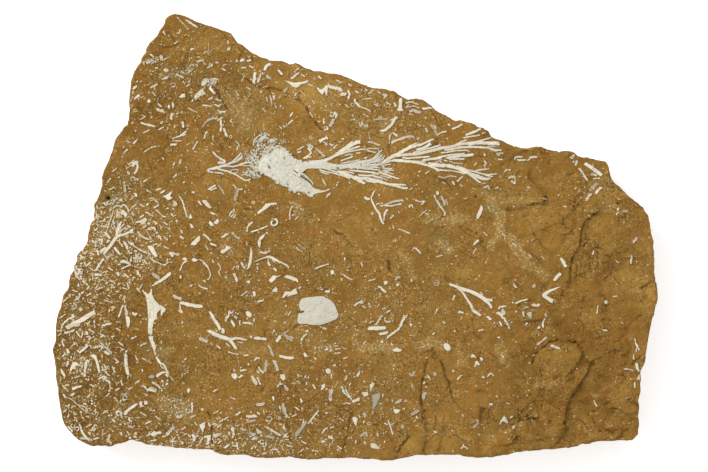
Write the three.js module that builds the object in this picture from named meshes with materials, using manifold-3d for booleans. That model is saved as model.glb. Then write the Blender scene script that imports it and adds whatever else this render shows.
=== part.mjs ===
// Bryozoan fossil slab: one block of stone with colonies and loose fragments set into its upper face.
// Units are millimetres and +Z is up. The slab lies on its flat underside with the fossils facing up.
import * as THREE from 'three';
import { mergeVertices } from 'three/addons/utils/BufferGeometryUtils.js';
import Module from 'manifold-3d';

// driving dimensions
const CHART_STEP = 0.35; // one step of the drawing chart, in millimetres
const CHART_MID_X = 354.75; // chart position that falls on x = 0
const CHART_MID_Y = 237.25; // chart position that falls on y = 0 (chart y runs down the face)
const FACE_HEIGHT = 19.2; // mean height of the fossil face above the ground
const SWELL_HEIGHT = 0.5; // long gentle swell of the bedding plane
const RIPPLE_HEIGHT = 0.22; // shorter ripple on top of the swell
const FACE_CELLS_X = 30; // facets of the bedding plane along the length
const FACE_CELLS_Y = 22; // and across it
const UNDERSIDE_INSET = 3; // how far the resting face stays inside the outline
const FOSSIL_PROUD = 0.4; // how far a fossil stands above the stone
const FOSSIL_ROOT = 0.6; // how far it goes down into the stone
const SEAT_GAP = 0.3; // clearance round and under each fossil

// side wall of the block, from the ground up: [height, inset from the outline]
const WALL_RINGS = [[0, UNDERSIDE_INSET], [4, 1.2], [10, 0], [16.5, 0.15], [26, 2.4]];

// outline of the block on the chart, clockwise from the upper left peak
const OUTLINE = [
  [174, 15], [190, 20], [210, 26.5], [230, 34], [236, 43], [250, 53], [270, 61], [295, 64], [310, 70.5],
  [336, 74.5], [355, 82], [379, 89], [395, 93], [408, 100.5], [423, 101], [435, 111], [449, 118],
  [464, 122], [478, 128], [488, 132.5], [495, 139], [507, 144], [522, 149.2], [537, 147.5], [554, 152],
  [571, 152.5], [584, 159], [605, 162], [609, 174], [614, 184], [625, 194], [643, 208], [648, 216],
  [653, 241], [654, 262], [656.5, 295], [654, 313], [649, 332], [645, 356], [640.5, 373], [640.5, 388],
  [638, 401], [639, 425], [635, 437], [616, 440.5], [592, 442], [566, 447.5], [540, 449], [513, 453],
  [492, 456.5], [467, 456], [440, 453.5], [415, 455], [395, 459], [380, 459.5], [350, 457], [310, 458.5],
  [286, 456.5], [256, 457], [236, 454], [212, 449], [188, 448], [155, 445], [132, 439], [118, 442.5],
  [98, 445], [79, 439], [69, 430], [63, 418], [59, 394], [56, 367], [53, 349], [56, 333], [58, 316],
  [64, 298], [69, 281], [75, 268], [80, 253], [88, 240], [95, 218], [95, 206], [103, 180], [110, 161],
  [118, 137], [128, 122], [131, 110], [131, 92], [135, 72], [142, 60], [149, 46], [158, 34], [166, 20],
];

// broken steps of the bedding plane: the stone is lower on the right of each line as it is listed
const LEDGES = [
  { line: [[245, 78], [275, 88], [297, 99], [308, 110], [321, 129]], drop: -1, reach: 60, soft: 4 },
  { line: [[600, 203], [586, 220], [580, 243], [568, 262], [560, 300]], drop: 1.6, reach: 90, soft: 7 },
  { line: [[620, 345], [591, 361], [575, 392], [566, 415], [562, 445]], drop: 2.1, reach: 120, soft: 6 },
  { line: [[425, 368], [421, 400], [425, 452]], drop: 0.8, reach: 50, soft: 4 },
];

// fossils: a line of [x, y, width] steps, or the corners of a flat patch, all on the chart
const COLONY = {
  colony_core: { patch: [[260, 160], [264, 155], [271, 152], [276, 148], [284, 148], [290, 150.5],
    [294, 157], [299, 161], [305, 163], [304, 169], [297, 171], [302, 177], [301, 190], [292, 191],
    [286, 186], [279, 181], [270, 178], [263, 173], [261, 167]] },
  colony_base_stem: { line: [[206.5, 170.8, 2.6], [212, 168.8, 3.2], [219, 167.4, 3.4]] },
  colony_base_middle_arm: { line: [[219, 167.4, 3], [229, 165, 3], [238, 164.3, 3], [250, 164, 3]] },
  colony_base_upper_arm: { line: [[229, 163.5, 2.6], [237, 158, 2.8], [244, 153, 3]] },
  colony_base_lower_arm: { line: [[221, 169, 2.6], [230, 171.4, 3], [237, 175, 3], [243, 179, 3.2],
    [250, 181, 3]] },
  colony_base_twig: { line: [[211, 174, 2.2], [223, 175, 2.4]] },
  colony_mesh_panel: { patch: [[251, 153], [258, 155.5], [257.4, 166], [259.5, 171], [256, 176], [251, 173],
    [253, 166], [250, 159]] },
  colony_upper_tuft: { patch: [[253, 142], [258, 136], [266, 133], [270, 137], [280, 138], [281, 142],
    [273, 146], [264, 150], [256, 149]] },
  colony_lower_lobe: { patch: [[303, 178], [310, 184], [318, 188], [330, 188.6], [328, 192], [319, 194],
    [313, 197], [307, 196], [303, 192]] },
  colony_main_stem: { line: [[306, 167.4, 4], [325, 166.6, 5], [340, 166, 5.4], [355, 165.5, 5.4],
    [368, 162.5, 5.6], [380, 160.5, 5.6]] },
  colony_first_frond_upper: { line: [[307, 163.4, 3.4], [320, 161.5, 3.6], [329, 158.5, 4], [338, 153, 4.4],
    [347, 147, 5.2], [355, 143, 5.4], [362, 140.5, 4.6]] },
  colony_first_frond_strand: { line: [[341, 158.6, 2.4], [350, 155, 2.6], [362, 152.4, 2.4], [378, 150.4, 2.2]] },
  colony_first_frond_lower: { line: [[334, 171.6, 4], [346, 175.5, 4.6], [360, 180, 5], [375, 182.6, 4.8],
    [390, 185.5, 4.6], [406, 188, 4]] },
  colony_first_frond_inner: { line: [[350, 171, 2.8], [360, 173.4, 3], [372, 175, 3], [385, 177.4, 3],
    [399, 179.4, 2.8]] },
  colony_second_frond_stem: { line: [[381, 160.4, 5], [392, 158.2, 5], [401, 157.4, 4.6]] },
  colony_second_frond_upper: { line: [[396, 153.6, 3.4], [405, 149.6, 3.8], [417, 145.4, 3.6],
    [434, 139.4, 3]] },
  colony_second_frond_crest: { line: [[405, 154.6, 3], [420, 152, 3], [439, 149, 3.4], [455, 145.6, 4],
    [470, 143, 4.8], [485, 142.8, 4.8], [498, 143.6, 4]] },
  colony_second_frond_centre: { line: [[403, 158.4, 3], [420, 157.8, 3], [439, 156.8, 3], [456, 155, 3],
    [474, 155.6, 3]] },
  colony_second_frond_keel: { line: [[403, 162, 3.4], [420, 163.8, 3.6], [437, 168, 4.4], [452, 169.6, 4.8],
    [464, 172.6, 5.2], [474, 178, 4.8], [484, 182, 3.4]] },
  colony_second_frond_tip: { line: [[471, 171, 2.6], [482, 174.4, 2.8], [497, 173.6, 2.4]] },
};
const FAN = {
  fan_blade: { patch: [[143.5, 292], [147, 292], [151, 290.5], [154, 297], [160, 303], [165, 310],
    [161.5, 315], [157.4, 313], [157, 319], [154, 321], [147.5, 318], [146, 302]] },
  fan_stalk: { line: [[150.6, 320, 5], [150.4, 331, 4.5], [152.5, 338, 4.6], [153.6, 346, 4.2],
    [155, 352, 3]] },
  fan_tail: { line: [[155, 352, 2.6], [159, 360, 3], [164, 366.5, 3], [167, 374, 3]] },
  fan_side_twig: { line: [[155, 376.4, 3.4], [165, 372, 3.4]] },
};
const LEFT_FORK = {
  left_fork_stem: { line: [[104.5, 254, 3.2], [110, 246, 3.6], [116.5, 236.8, 4]] },
  left_fork_right_arm: { line: [[116.5, 236.8, 3.4], [126, 233.4, 3.6], [134, 230, 3.4]] },
  left_fork_upper_arm: { line: [[116, 236, 3], [118.5, 228, 2.8], [120.5, 222, 2.4]] },
};
const LOWER_FORK = {
  lower_fork_stem: { line: [[209, 330.4, 4], [216, 334.6, 4], [228, 338.6, 4.4]] },
  lower_fork_upper_arm: { line: [[228, 338.6, 4], [238, 338, 3.2], [247, 340, 2.2]] },
  lower_fork_lower_arm: { line: [[229, 340, 3.6], [234, 346, 3.4], [236, 349, 3]] },
  leaning_twig: { line: [[211.5, 313, 2.4], [216, 321, 3.4], [219.6, 328.6, 3]] },
};
const RIGHT_FORK = {
  right_fork_stem: { line: [[450, 284.5, 2.6], [457, 286.5, 3.2], [466, 291, 4.4]] },
  right_fork_upper_arm: { line: [[466, 290.6, 4], [478, 295.4, 4.2], [484, 299.6, 4.6], [491.5, 307.5, 3]] },
  right_fork_lower_arm: { line: [[464.4, 292.5, 2.6], [469, 302, 2.6], [473, 309, 3.4], [481, 316, 2.6]] },
};
const BENT_TWIG = {
  bent_twig_upper: { line: [[565, 285.5, 1.8], [556, 288.8, 3], [545, 293.4, 4.2]] },
  bent_twig_lower: { line: [[545, 293.4, 4.4], [549.5, 299, 4.4], [554, 302, 4.2]] },
};
const SINGLES = {
  sheet_fragment: { patch: [[299, 301], [303, 298], [310, 297], [322, 296], [328, 298.5], [333, 302],
    [336.5, 308], [338.5, 314], [336, 319], [333, 321.5], [326, 323.5], [318, 325], [307, 325], [300, 324],
    [297.5, 321], [299, 313.5], [303.5, 311.5], [299, 310], [298.8, 305]] },
  upper_edge_twig_bar: { line: [[466, 135.2, 3], [480.5, 131, 3]] },
  right_corner_bar: { line: [[585.5, 163.8, 3.6], [593, 168.8, 4], [601, 174.8, 3.6]] },
  steep_bar: { line: [[477.8, 218, 4], [480, 211, 4], [482, 206, 3.4]] },
  ledge_bar_high: { line: [[561.4, 258, 3.6], [565.5, 266.5, 4]] },
  ledge_bar_low: { line: [[560.5, 273.4, 3.8], [555, 280, 3.6]] },
  long_flat_bar: { line: [[369, 328.6, 4.2], [385, 328.2, 4.2]] },
  short_flat_bar: { line: [[379.5, 334.6, 3], [388, 332.8, 3]] },
  lower_middle_bar: { line: [[280, 356, 3], [287, 357.6, 3.2], [293, 358, 3]] },
  middle_bar: { line: [[285.6, 276.2, 3.4], [292, 278.4, 3.6], [298, 281, 3.4]] },
  wavy_bar: { line: [[182, 302.6, 3], [190, 305, 3.4], [202, 306, 3.4]] },
  rising_bar: { line: [[156, 283.6, 2.6], [163, 279.4, 3], [170, 274, 3.4]] },
  upper_left_bar: { line: [[192.8, 244.8, 4.4], [199.4, 237.6, 4.4]] },
  falling_bar: { line: [[203.8, 201, 3.6], [210.6, 208.6, 3.2]] },
  spike_twig: { line: [[251.6, 249, 2], [250, 258, 3.4], [248.6, 266, 3.6]] },
  upright_bar: { line: [[127, 355, 3], [127.2, 364, 3.4], [127.4, 374, 3.4]] },
  far_left_bar: { line: [[70, 326, 4], [82, 320.6, 4.6], [92.6, 313, 4]] },
  broad_left_bar: { line: [[149.4, 246.4, 4.6], [156.6, 256, 4.2]] },
  drooping_bar: { line: [[96, 355, 3], [98, 366, 3.6], [100, 372.6, 3]] },
  arched_twig: { line: [[257, 260.4, 2.4], [268, 257, 3], [280, 260.6, 3], [288, 266, 2.6]] },
  curved_twig: { line: [[381, 131, 3], [388, 128, 3], [393, 122.5, 3.4], [397, 117.5, 2.8]] },
  long_slant_twig: { line: [[374.4, 204, 2.6], [378, 212, 3], [383, 222.6, 3]] },
};
const GROUPS = [COLONY, FAN, LEFT_FORK, LOWER_FORK, RIGHT_FORK, BENT_TWIG, SINGLES];

const STONE_COLOR = 0x94703c;
const FOSSIL_COLOR = 0xd5d1bf;
const SHEET_COLOR = 0xcfcab5;

const toX = (cx) => (cx - CHART_MID_X) * CHART_STEP;
const toY = (cy) => (CHART_MID_Y - cy) * CHART_STEP;

function smooth(low, high, value) {
  const t = Math.min(1, Math.max(0, (value - low) / (high - low)));
  return t * t * (3 - 2 * t);
}

// how much one ledge lowers the stone at a chart position
function ledgeDrop(cx, cy, ledge) {
  let best = Infinity;
  let side = 1;
  let over = 0;
  for (let i = 0; i + 1 < ledge.line.length; i++) {
    const [ax, ay] = ledge.line[i];
    const [bx, by] = ledge.line[i + 1];
    const run = (bx - ax) ** 2 + (by - ay) ** 2;
    const raw = ((cx - ax) * (bx - ax) + (cy - ay) * (by - ay)) / run;
    const t = Math.min(1, Math.max(0, raw));
    const dist = Math.hypot(cx - ax - t * (bx - ax), cy - ay - t * (by - ay));
    if (dist < best) {
      best = dist;
      side = (bx - ax) * (cy - ay) - (by - ay) * (cx - ax) < 0 ? 1 : -1;
      over = Math.abs(raw - t) * Math.sqrt(run);
    }
  }
  const low = Math.sign(ledge.drop) * side * best;
  const ends = 1 - smooth(0, 24, over);
  const fade = 1 - smooth(ledge.reach * 0.35, ledge.reach, best);
  return Math.abs(ledge.drop) * smooth(-ledge.soft, ledge.soft, low) * fade * ends;
}

function faceHeight(cx, cy) {
  const swell = SWELL_HEIGHT * Math.sin(cx / 71 + 0.6) * Math.cos(cy / 63);
  const ripple = RIPPLE_HEIGHT * Math.sin(cx / 29 + cy / 37);
  let height = FACE_HEIGHT + swell + ripple;
  for (const ledge of LEDGES) height -= ledgeDrop(cx, cy, ledge);
  return height;
}

const wasm = await Module();
wasm.setup();

function solidFrom(positions, triangles) {
  return new wasm.Manifold(new wasm.Mesh({
    numProp: 3,
    vertProperties: new Float32Array(positions.flat()),
    triVerts: new Uint32Array(triangles.flat()),
  }));
}

// a block whose upper side is the bedding plane, moved up or down by lift
function beddingBlock(lift) {
  const reachX = 112;
  const reachY = 84;
  const row = FACE_CELLS_X + 1;
  const layer = row * (FACE_CELLS_Y + 1);
  const positions = [];
  for (const top of [true, false]) {
    for (let j = 0; j <= FACE_CELLS_Y; j++) {
      for (let i = 0; i <= FACE_CELLS_X; i++) {
        const x = -reachX + (2 * reachX * i) / FACE_CELLS_X;
        const y = -reachY + (2 * reachY * j) / FACE_CELLS_Y;
        const z = faceHeight(CHART_MID_X + x / CHART_STEP, CHART_MID_Y - y / CHART_STEP) + lift;
        positions.push([x, y, top ? z : -8]);
      }
    }
  }
  const triangles = [];
  for (let j = 0; j < FACE_CELLS_Y; j++) {
    for (let i = 0; i < FACE_CELLS_X; i++) {
      const a = j * row + i;
      triangles.push([a, a + 1, a + row + 1], [a, a + row + 1, a + row]);
      const b = a + layer;
      triangles.push([b, b + row + 1, b + 1], [b, b + row, b + row + 1]);
    }
  }
  const rim = [];
  for (let i = 0; i < FACE_CELLS_X; i++) rim.push(i);
  for (let j = 0; j < FACE_CELLS_Y; j++) rim.push(j * row + FACE_CELLS_X);
  for (let i = FACE_CELLS_X; i > 0; i--) rim.push(FACE_CELLS_Y * row + i);
  for (let j = FACE_CELLS_Y; j > 0; j--) rim.push(j * row);
  rim.forEach((a, k) => {
    const b = rim[(k + 1) % rim.length];
    triangles.push([a, a + layer, b + layer], [a, b + layer, b]);
  });
  return solidFrom(positions, triangles);
}

// outline rings joined into a closed wall, wider at mid height than at the ground
function wallBlock() {
  const ring = OUTLINE.map(([cx, cy]) => new THREE.Vector2(toX(cx), toY(cy))).reverse();
  const count = ring.length;
  const inward = ring.map((p, i) => {
    const before = ring[(i + count - 1) % count];
    const after = ring[(i + 1) % count];
    const along = after.clone().sub(before).normalize();
    return new THREE.Vector2(-along.y, along.x);
  });
  const positions = [];
  for (const [height, inset] of WALL_RINGS) {
    ring.forEach((p, i) => {
      const chip = inset * (1 + 0.3 * Math.sin(i * 2.4 + height));
      positions.push([p.x + inward[i].x * chip, p.y + inward[i].y * chip, height]);
    });
  }
  const triangles = [];
  for (let k = 0; k + 1 < WALL_RINGS.length; k++) {
    for (let i = 0; i < count; i++) {
      const a = k * count + i;
      const b = k * count + ((i + 1) % count);
      triangles.push([a, b, b + count], [a, b + count, a + count]);
    }
  }
  for (const [base, flip] of [[0, true], [(WALL_RINGS.length - 1) * count, false]]) {
    const flat = Array.from({ length: count }, (_, i) => new THREE.Vector2(...positions[base + i]));
    for (const [a, b, c] of THREE.ShapeUtils.triangulateShape(flat, [])) {
      triangles.push(flip ? [base + a, base + c, base + b] : [base + a, base + b, base + c]);
    }
  }
  return solidFrom(positions, triangles);
}

// corners of a tapered band that follows a line, widened by grow on every side
function bandCorners(line, grow) {
  const points = line.map(([cx, cy, width]) => ({
    at: new THREE.Vector2(toX(cx), toY(cy)),
    half: (width * CHART_STEP) / 2,
  }));
  const left = [];
  const right = [];
  points.forEach((p, i) => {
    const from = points[Math.max(0, i - 1)].at;
    const to = points[Math.min(points.length - 1, i + 1)].at;
    const along = to.clone().sub(from).normalize();
    const across = new THREE.Vector2(-along.y, along.x);
    const end = i === 0 ? -1 : i === points.length - 1 ? 1 : 0;
    const half = p.half * (end ? 0.62 : 1) + grow;
    const base = p.at.clone().addScaledVector(along, end * grow);
    left.push(base.clone().addScaledVector(across, half));
    right.push(base.clone().addScaledVector(across, -half));
  });
  return [...right, ...left.reverse()];
}

// corners of a patch, pushed out by grow
function patchCorners(patch, grow) {
  const ring = patch.map(([cx, cy]) => new THREE.Vector2(toX(cx), toY(cy)));
  if (THREE.ShapeUtils.isClockWise(ring)) ring.reverse();
  return ring.map((p, i) => {
    const before = ring[(i + ring.length - 1) % ring.length];
    const after = ring[(i + 1) % ring.length];
    const a = p.clone().sub(before).normalize();
    const b = after.clone().sub(p).normalize();
    const out = new THREE.Vector2(a.y + b.y, -a.x - b.x).normalize();
    const lean = Math.max(0.6, Math.sqrt((1 + a.dot(b)) / 2));
    return p.clone().addScaledVector(out, grow / lean);
  });
}

function prism(fossil, grow) {
  const corners = fossil.line ? bandCorners(fossil.line, grow) : patchCorners(fossil.patch, grow);
  const count = corners.length;
  const positions = [...corners.map((p) => [p.x, p.y, 12]), ...corners.map((p) => [p.x, p.y, 30])];
  const triangles = [];
  for (const [a, b, c] of THREE.ShapeUtils.triangulateShape(corners, [])) {
    triangles.push([a, c, b], [a + count, b + count, c + count]);
  }
  for (let i = 0; i < count; i++) {
    const j = (i + 1) % count;
    triangles.push([i, j, j + count], [i, j + count, i + count]);
  }
  return solidFrom(positions, triangles);
}

function toGeometry(solid) {
  const mesh = solid.getMesh();
  let geometry = new THREE.BufferGeometry();
  const positions = new Float32Array(mesh.numVert * 3);
  for (let i = 0; i < mesh.numVert; i++) {
    for (let k = 0; k < 3; k++) positions[i * 3 + k] = mesh.vertProperties[i * mesh.numProp + k];
  }
  geometry.setAttribute('position', new THREE.BufferAttribute(positions, 3));
  geometry.setIndex(new THREE.BufferAttribute(new Uint32Array(mesh.triVerts), 1));
  geometry = mergeVertices(geometry, 1e-4);
  geometry.computeVertexNormals();
  return geometry;
}

function addMesh(group, name, solid, color, roughness) {
  const material = new THREE.MeshStandardMaterial({ color, roughness, metalness: 0 });
  const mesh = new THREE.Mesh(toGeometry(solid), material);
  mesh.name = name;
  group.add(mesh);
}

const slab = new THREE.Group();
slab.name = 'bryozoan_fossil_slab';

const face = beddingBlock(0);
const above = beddingBlock(FOSSIL_PROUD);
const below = beddingBlock(-FOSSIL_ROOT);
const seatFloor = beddingBlock(-FOSSIL_ROOT - SEAT_GAP);
let stone = face.intersect(wallBlock());
const pieces = [];
for (const members of GROUPS) {
  const earlier = [];
  for (const [name, fossil] of Object.entries(members)) {
    let footprint = prism(fossil, 0);
    if (members !== SINGLES) {
      for (const grown of earlier) footprint = footprint.subtract(grown);
    }
    const grown = prism(fossil, SEAT_GAP);
    earlier.push(grown);
    pieces.push([name, footprint.intersect(above).subtract(below)]);
    stone = stone.subtract(grown.subtract(seatFloor));
  }
}
addMesh(slab, 'matrix_slab', stone, STONE_COLOR, 0.85);
for (const [name, solid] of pieces) {
  addMesh(slab, name, solid, name === 'sheet_fragment' ? SHEET_COLOR : FOSSIL_COLOR, 0.55);
}

export default slab;
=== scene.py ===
# Bryozoan fossil slab: a block of ochre stone with branching colonies and loose fragments on its face.
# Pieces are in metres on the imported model's frame; the slab lies on its underside with the fossils up.
import bpy
import bmesh
import math
import random
import numpy as np
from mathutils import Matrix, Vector, noise
from mathutils.bvhtree import BVHTree


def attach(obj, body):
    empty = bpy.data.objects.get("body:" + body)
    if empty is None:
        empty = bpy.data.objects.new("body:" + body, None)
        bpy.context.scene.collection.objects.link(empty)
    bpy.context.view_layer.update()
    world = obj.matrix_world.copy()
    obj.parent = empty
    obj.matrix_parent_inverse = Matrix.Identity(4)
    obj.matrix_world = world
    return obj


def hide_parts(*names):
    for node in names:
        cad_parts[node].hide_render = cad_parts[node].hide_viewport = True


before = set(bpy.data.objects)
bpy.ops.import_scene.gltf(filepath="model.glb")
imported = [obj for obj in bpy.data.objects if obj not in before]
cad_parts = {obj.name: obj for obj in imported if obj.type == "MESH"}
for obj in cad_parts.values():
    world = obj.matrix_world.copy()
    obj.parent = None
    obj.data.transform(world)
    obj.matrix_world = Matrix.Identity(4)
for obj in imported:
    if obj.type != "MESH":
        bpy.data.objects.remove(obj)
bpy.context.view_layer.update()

# places on the bedding face are written on a drawing chart whose y runs down the face
chart = {"step": 0.00035, "stepMm": 0.35, "midX": 354.75, "midY": 237.25}  # one step in metres and in mm
mm = 0.001

seeds = {"facets": 7, "fossils": 7, "debris": 41}
noise.seed_set(seeds["facets"])  # without it the facets of the stone differ in each run


def toX(cx):
    return (cx - chart["midX"]) * chart["step"]


def toY(cy):
    return (chart["midY"] - cy) * chart["step"]


def readPoints(text):
    return [tuple(float(part) for part in word.split(",")) for word in text.split()]


def smoothStep(low, high, value):
    t = np.clip((value - low) / (high - low), 0.0, 1.0)
    return t * t * (3.0 - 2.0 * t)


def bumpAt(x, y, size, layer):  # smooth random value between about -1 and 1
    return noise.noise((x / size, y / size, layer))


def runAlong(path):  # how far each point is along the path
    return np.concatenate([[0.0], np.cumsum(np.hypot(*np.diff(path[:, :2], axis=0).T))])


def resample(points, count):  # evenly spaced points along a path, ends kept
    path = np.array(points, dtype=float)
    run = runAlong(path)
    at = np.linspace(0.0, run[-1], count)
    return np.stack([np.interp(at, run, path[:, k]) for k in range(path.shape[1])], axis=1)


def rounded(points, steps=4):  # Catmull-Rom curve through the points
    pts = [np.array(p, dtype=float) for p in points]
    if len(pts) < 3:
        return [tuple(p) for p in pts]
    ends = [2 * pts[0] - pts[1]] + pts + [2 * pts[-1] - pts[-2]]
    curve = []
    for a, b, c, d in zip(ends, ends[1:], ends[2:], ends[3:]):
        for k in range(steps):
            t = k / steps
            curve.append(tuple(0.5 * (2 * b + (c - a) * t + (2 * a - 5 * b + 4 * c - d) * t * t
                                      + (3 * b - a - 3 * c + d) * t ** 3)))
    return curve + [tuple(pts[-1])]


# the stone block: its outline on the chart, clockwise from the upper left
outline = readPoints("""
    150,45 152,41 155,38.5 158,35 160,31 162,28 164,25 166,20 168,17.5 171,16 174,15 180,16 185,17.5 190,20
    195,22 200,23.5 205,25 210,26.5 215,28 220,30 225,31.5 230,34 232,37 234,40 236,43 241,45 244,48
    247,50.5 250,53 256,56 260,58.5 270,61 276,62 281,62 285,63.5 290,65 295,64 300,66 304,69 310,70.5
    313,72 320,72 328,74 336,74.5 345,77.5 350,79.5 355,82 362,85 366,86 372,88 379,89 383,89 390,91
    395,93 400,96 405,99 408,100.5 413,100 416,99 423,101 430,106 435,111 440,114 445,116 449,118 453,121
    457,122 460,121 465,122.5 471,123.5 475,125 478,128 481,128 484,130 487,131 489,134 491,137 493,138
    496,139.5 499,140.5 503,141.5 507,144 512,146 517,148 522,149.2 528,149.5 534,148 537,147.5 541,148
    545,150 549,151 554,152 558,152.5 559,154 561,152.5 566,152 571,152.5 574,153.5 577,156 581,158.5
    584,159 587,158.5 590,160 596,160.5 602,161.5 605,162 607,164 608,168 609,174 611,180 614,184 618,187
    622,190 625,194 629,198 632,200 635,203 640,206 643,208 645,212 648,216 649,222 650,228 651,234
    653,241 652.5,247 654,251 653.5,256 654,262 654,270 654.5,276 655,282 656,290 656.5,297 655.5,304
    655,309 654,313 652,318 650.5,325 649,332 648,338 647,344 646,350 645,356 644,361 643,365 641,369
    640.5,373 641,380 640.5,386 640,392 639,396 638,401 639,406 638,412 638,420 639,425 638,429 637,434
    635,437 632,439.5 625,439.5 616,440.5 607,440.5 600,441 592,442 585,443 578,445 572,446 566,447.5
    558,448.5 550,449 540,449 532,449.5 525,450.5 518,451.5 513,453 508,454.5 502,454.5 496,455 492,456.5
    487,456 482,456.5 474,456.5 467,456 462,454.5 458,453.5 450,453.5 440,453.5 432,454 427,455 420,454.5
    415,455 410,456 403,457.5 395,459 387,459 380,459.5 374,458 366,458 358,457.5 350,457 340,457.5
    330,457.5 322,457.5 317,458.5 310,458.5 304,458 298,457 292,456 286,456.5 278,456.5 270,457 262,457
    256,457 250,455.5 243,454 236,454 228,454 221,453 216,451 212,449 207,448.5 198,448.5 188,448 180,447
    172,446 165,445 158,445 155,445 147,444 142,442 137,441 132,439 128,439.5 124,442 118,442.5 114,444
    110,446 106,445 98,445 92,445 85,442 79,439 74,435 69,430 65,424 63,418 62,412 61,407 60,400 59,394
    59,388 58,381 57,374 56,367 55,360 53.5,354 53,349 55,345 56,340 56,333 56,326 57,320 58,316 60,311
    62,307 63,302 64,298 65,293 68,290 69,286 69,281 70,277 72,273 75,270 74,267 76,264 78,260 78,256
    80,253 83,250 86,245 88,240 89,233 90,229 92,224 95,220 94,215 95,211 95,206 97,200 99,196 101,191
    102,186 103,180 103,176 105,170 108,165 110,161 111,158 114,150 116,141 118,137 122,131 127,126
    128,122 130,118 131,110 130,102 131,92 132,86 132,82 134,76 135,72 138,67 140,64 142,62.5 142,59
    144,55 147,51 148,47
""")

slab = {
    "cells": (236, 172),  # quads along and down the bedding face
    "corners": ((166, 20), (605, 162), (637, 434), (69, 430)),  # where the four sides of the face meet
    "faceHeight": 19.2, "swell": 0.5, "ripple": 0.22,  # mm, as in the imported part
    "swellOver": (71, 63), "rippleOver": (29, 37),  # chart lengths of those waves
    "lamina": 0.09, "dimples": 0.1, "grit": 0.1,  # mm
    "spread": 1.5,  # how far the widest part of the wall lies outside the outline, on the chart
    "lip": (0.45, 0.65),  # mm that the face stops short of the outline: least, and more where chipped
    "wallRings": 21,
    "baseRings": (0.985, 0.955, 0.91, 0.85, 0.78, 0.69, 0.59, 0.48, 0.36, 0.23, 0.1),
    "refineReach": (2.4, 4.0, 3.0), "refineCuts": 2,  # finer mesh beside cracks, steps and pits
}

# broken steps of the bedding plane: drop in mm, lower to the right of the line as it is listed; dark and width
# give a painted shadow line along each step
ledges = [
    {"line": "246,79 257,86 266,87 275,88 285,92 297,99 305,106 308,110 313,119 318,126 321,129",
     "drop": -0.8, "reach": 60, "soft": 1.0, "dark": 0.6, "width": 0.7},
    {"line": "548,201 556,201 566,203 575,204 585,207 591,209 595,213",
     "drop": 0.4, "reach": 50, "soft": 1.8, "dark": 0.3, "width": 0.9},
    {"line": "595,213 592,216 586,220 583,226 581,235 580,246 576,252 573,258 571,264 570,272 569,280",
     "drop": 0.75, "reach": 60, "soft": 1.2, "dark": 0.6, "width": 1.0},
    {"line": "616,350.6 611,351 606,353.6 600,357.6 594,360 591,364.6 587.4,373 585,377.4 582,381",
     "drop": 0.45, "reach": 50, "soft": 1.1, "dark": 0.75, "width": 0.6},
    {"line": "582,381 579,386 576,391 572,397",
     "drop": 0.4, "reach": 50, "soft": 2.0, "dark": 0.2, "width": 0.9},
    {"line": "575,391.6 573,395 570.6,400 568,407 565.6,414 565,422 566,429 564,435 560,439 555,445",
     "drop": 0.7, "reach": 34, "soft": 1.2, "dark": 0.5, "width": 1.2},
    {"line": "426,364 424,372 422,382 421,392 421,402 421.6,412",
     "drop": 0.5, "reach": 40, "soft": 1.3, "dark": 0.7, "width": 1.0},
    {"line": "424,414 426,424 426.4,437 424,452",
     "drop": 0.4, "reach": 30, "soft": 2.4, "dark": 0.45, "width": 2.2},
    {"line": "520,372 526,381 536,385 546,384 556,379 566,377 576,372 588,368",
     "drop": 0.6, "reach": 40, "soft": 1.6, "dark": 0.3, "width": 0.8},
    {"line": "455,190 468,194 480,197 500,200 520,201 540,199",
     "drop": 0.7, "reach": 50, "soft": 2.6, "dark": 0.12, "width": 1.2},
    {"line": "486,287 487,270 484,255 478,243",
     "drop": 0.5, "reach": 40, "soft": 2.2, "dark": 0.15, "width": 1.0},
    {"line": "540,449 541,436 545,424 549,412 545,398 538,386",
     "drop": 0.5, "reach": 40, "soft": 1.8, "dark": 0.3, "width": 0.8},
    {"line": "638,398 628,400 616,399 606,402 597,408 588,420 584,430 583,441",
     "drop": -0.6, "reach": 40, "soft": 1.6, "dark": 0.35, "width": 0.8},
]

# facets of the broken surface: size on the chart, tilt and step in mm, and a painted shade from facet to
# facet, lighter where a facet tilts towards the lamp on the left, darker where it tilts away
facets = [
    {"size": 32.0, "squash": 1.25, "seed": 2.5, "tilt": 1.9, "step": 0.1, "shade": 0.12},
    {"size": 13.0, "squash": 1.1, "seed": 7.5, "tilt": 0.75, "step": 0.05, "shade": 0.09},
]
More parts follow.
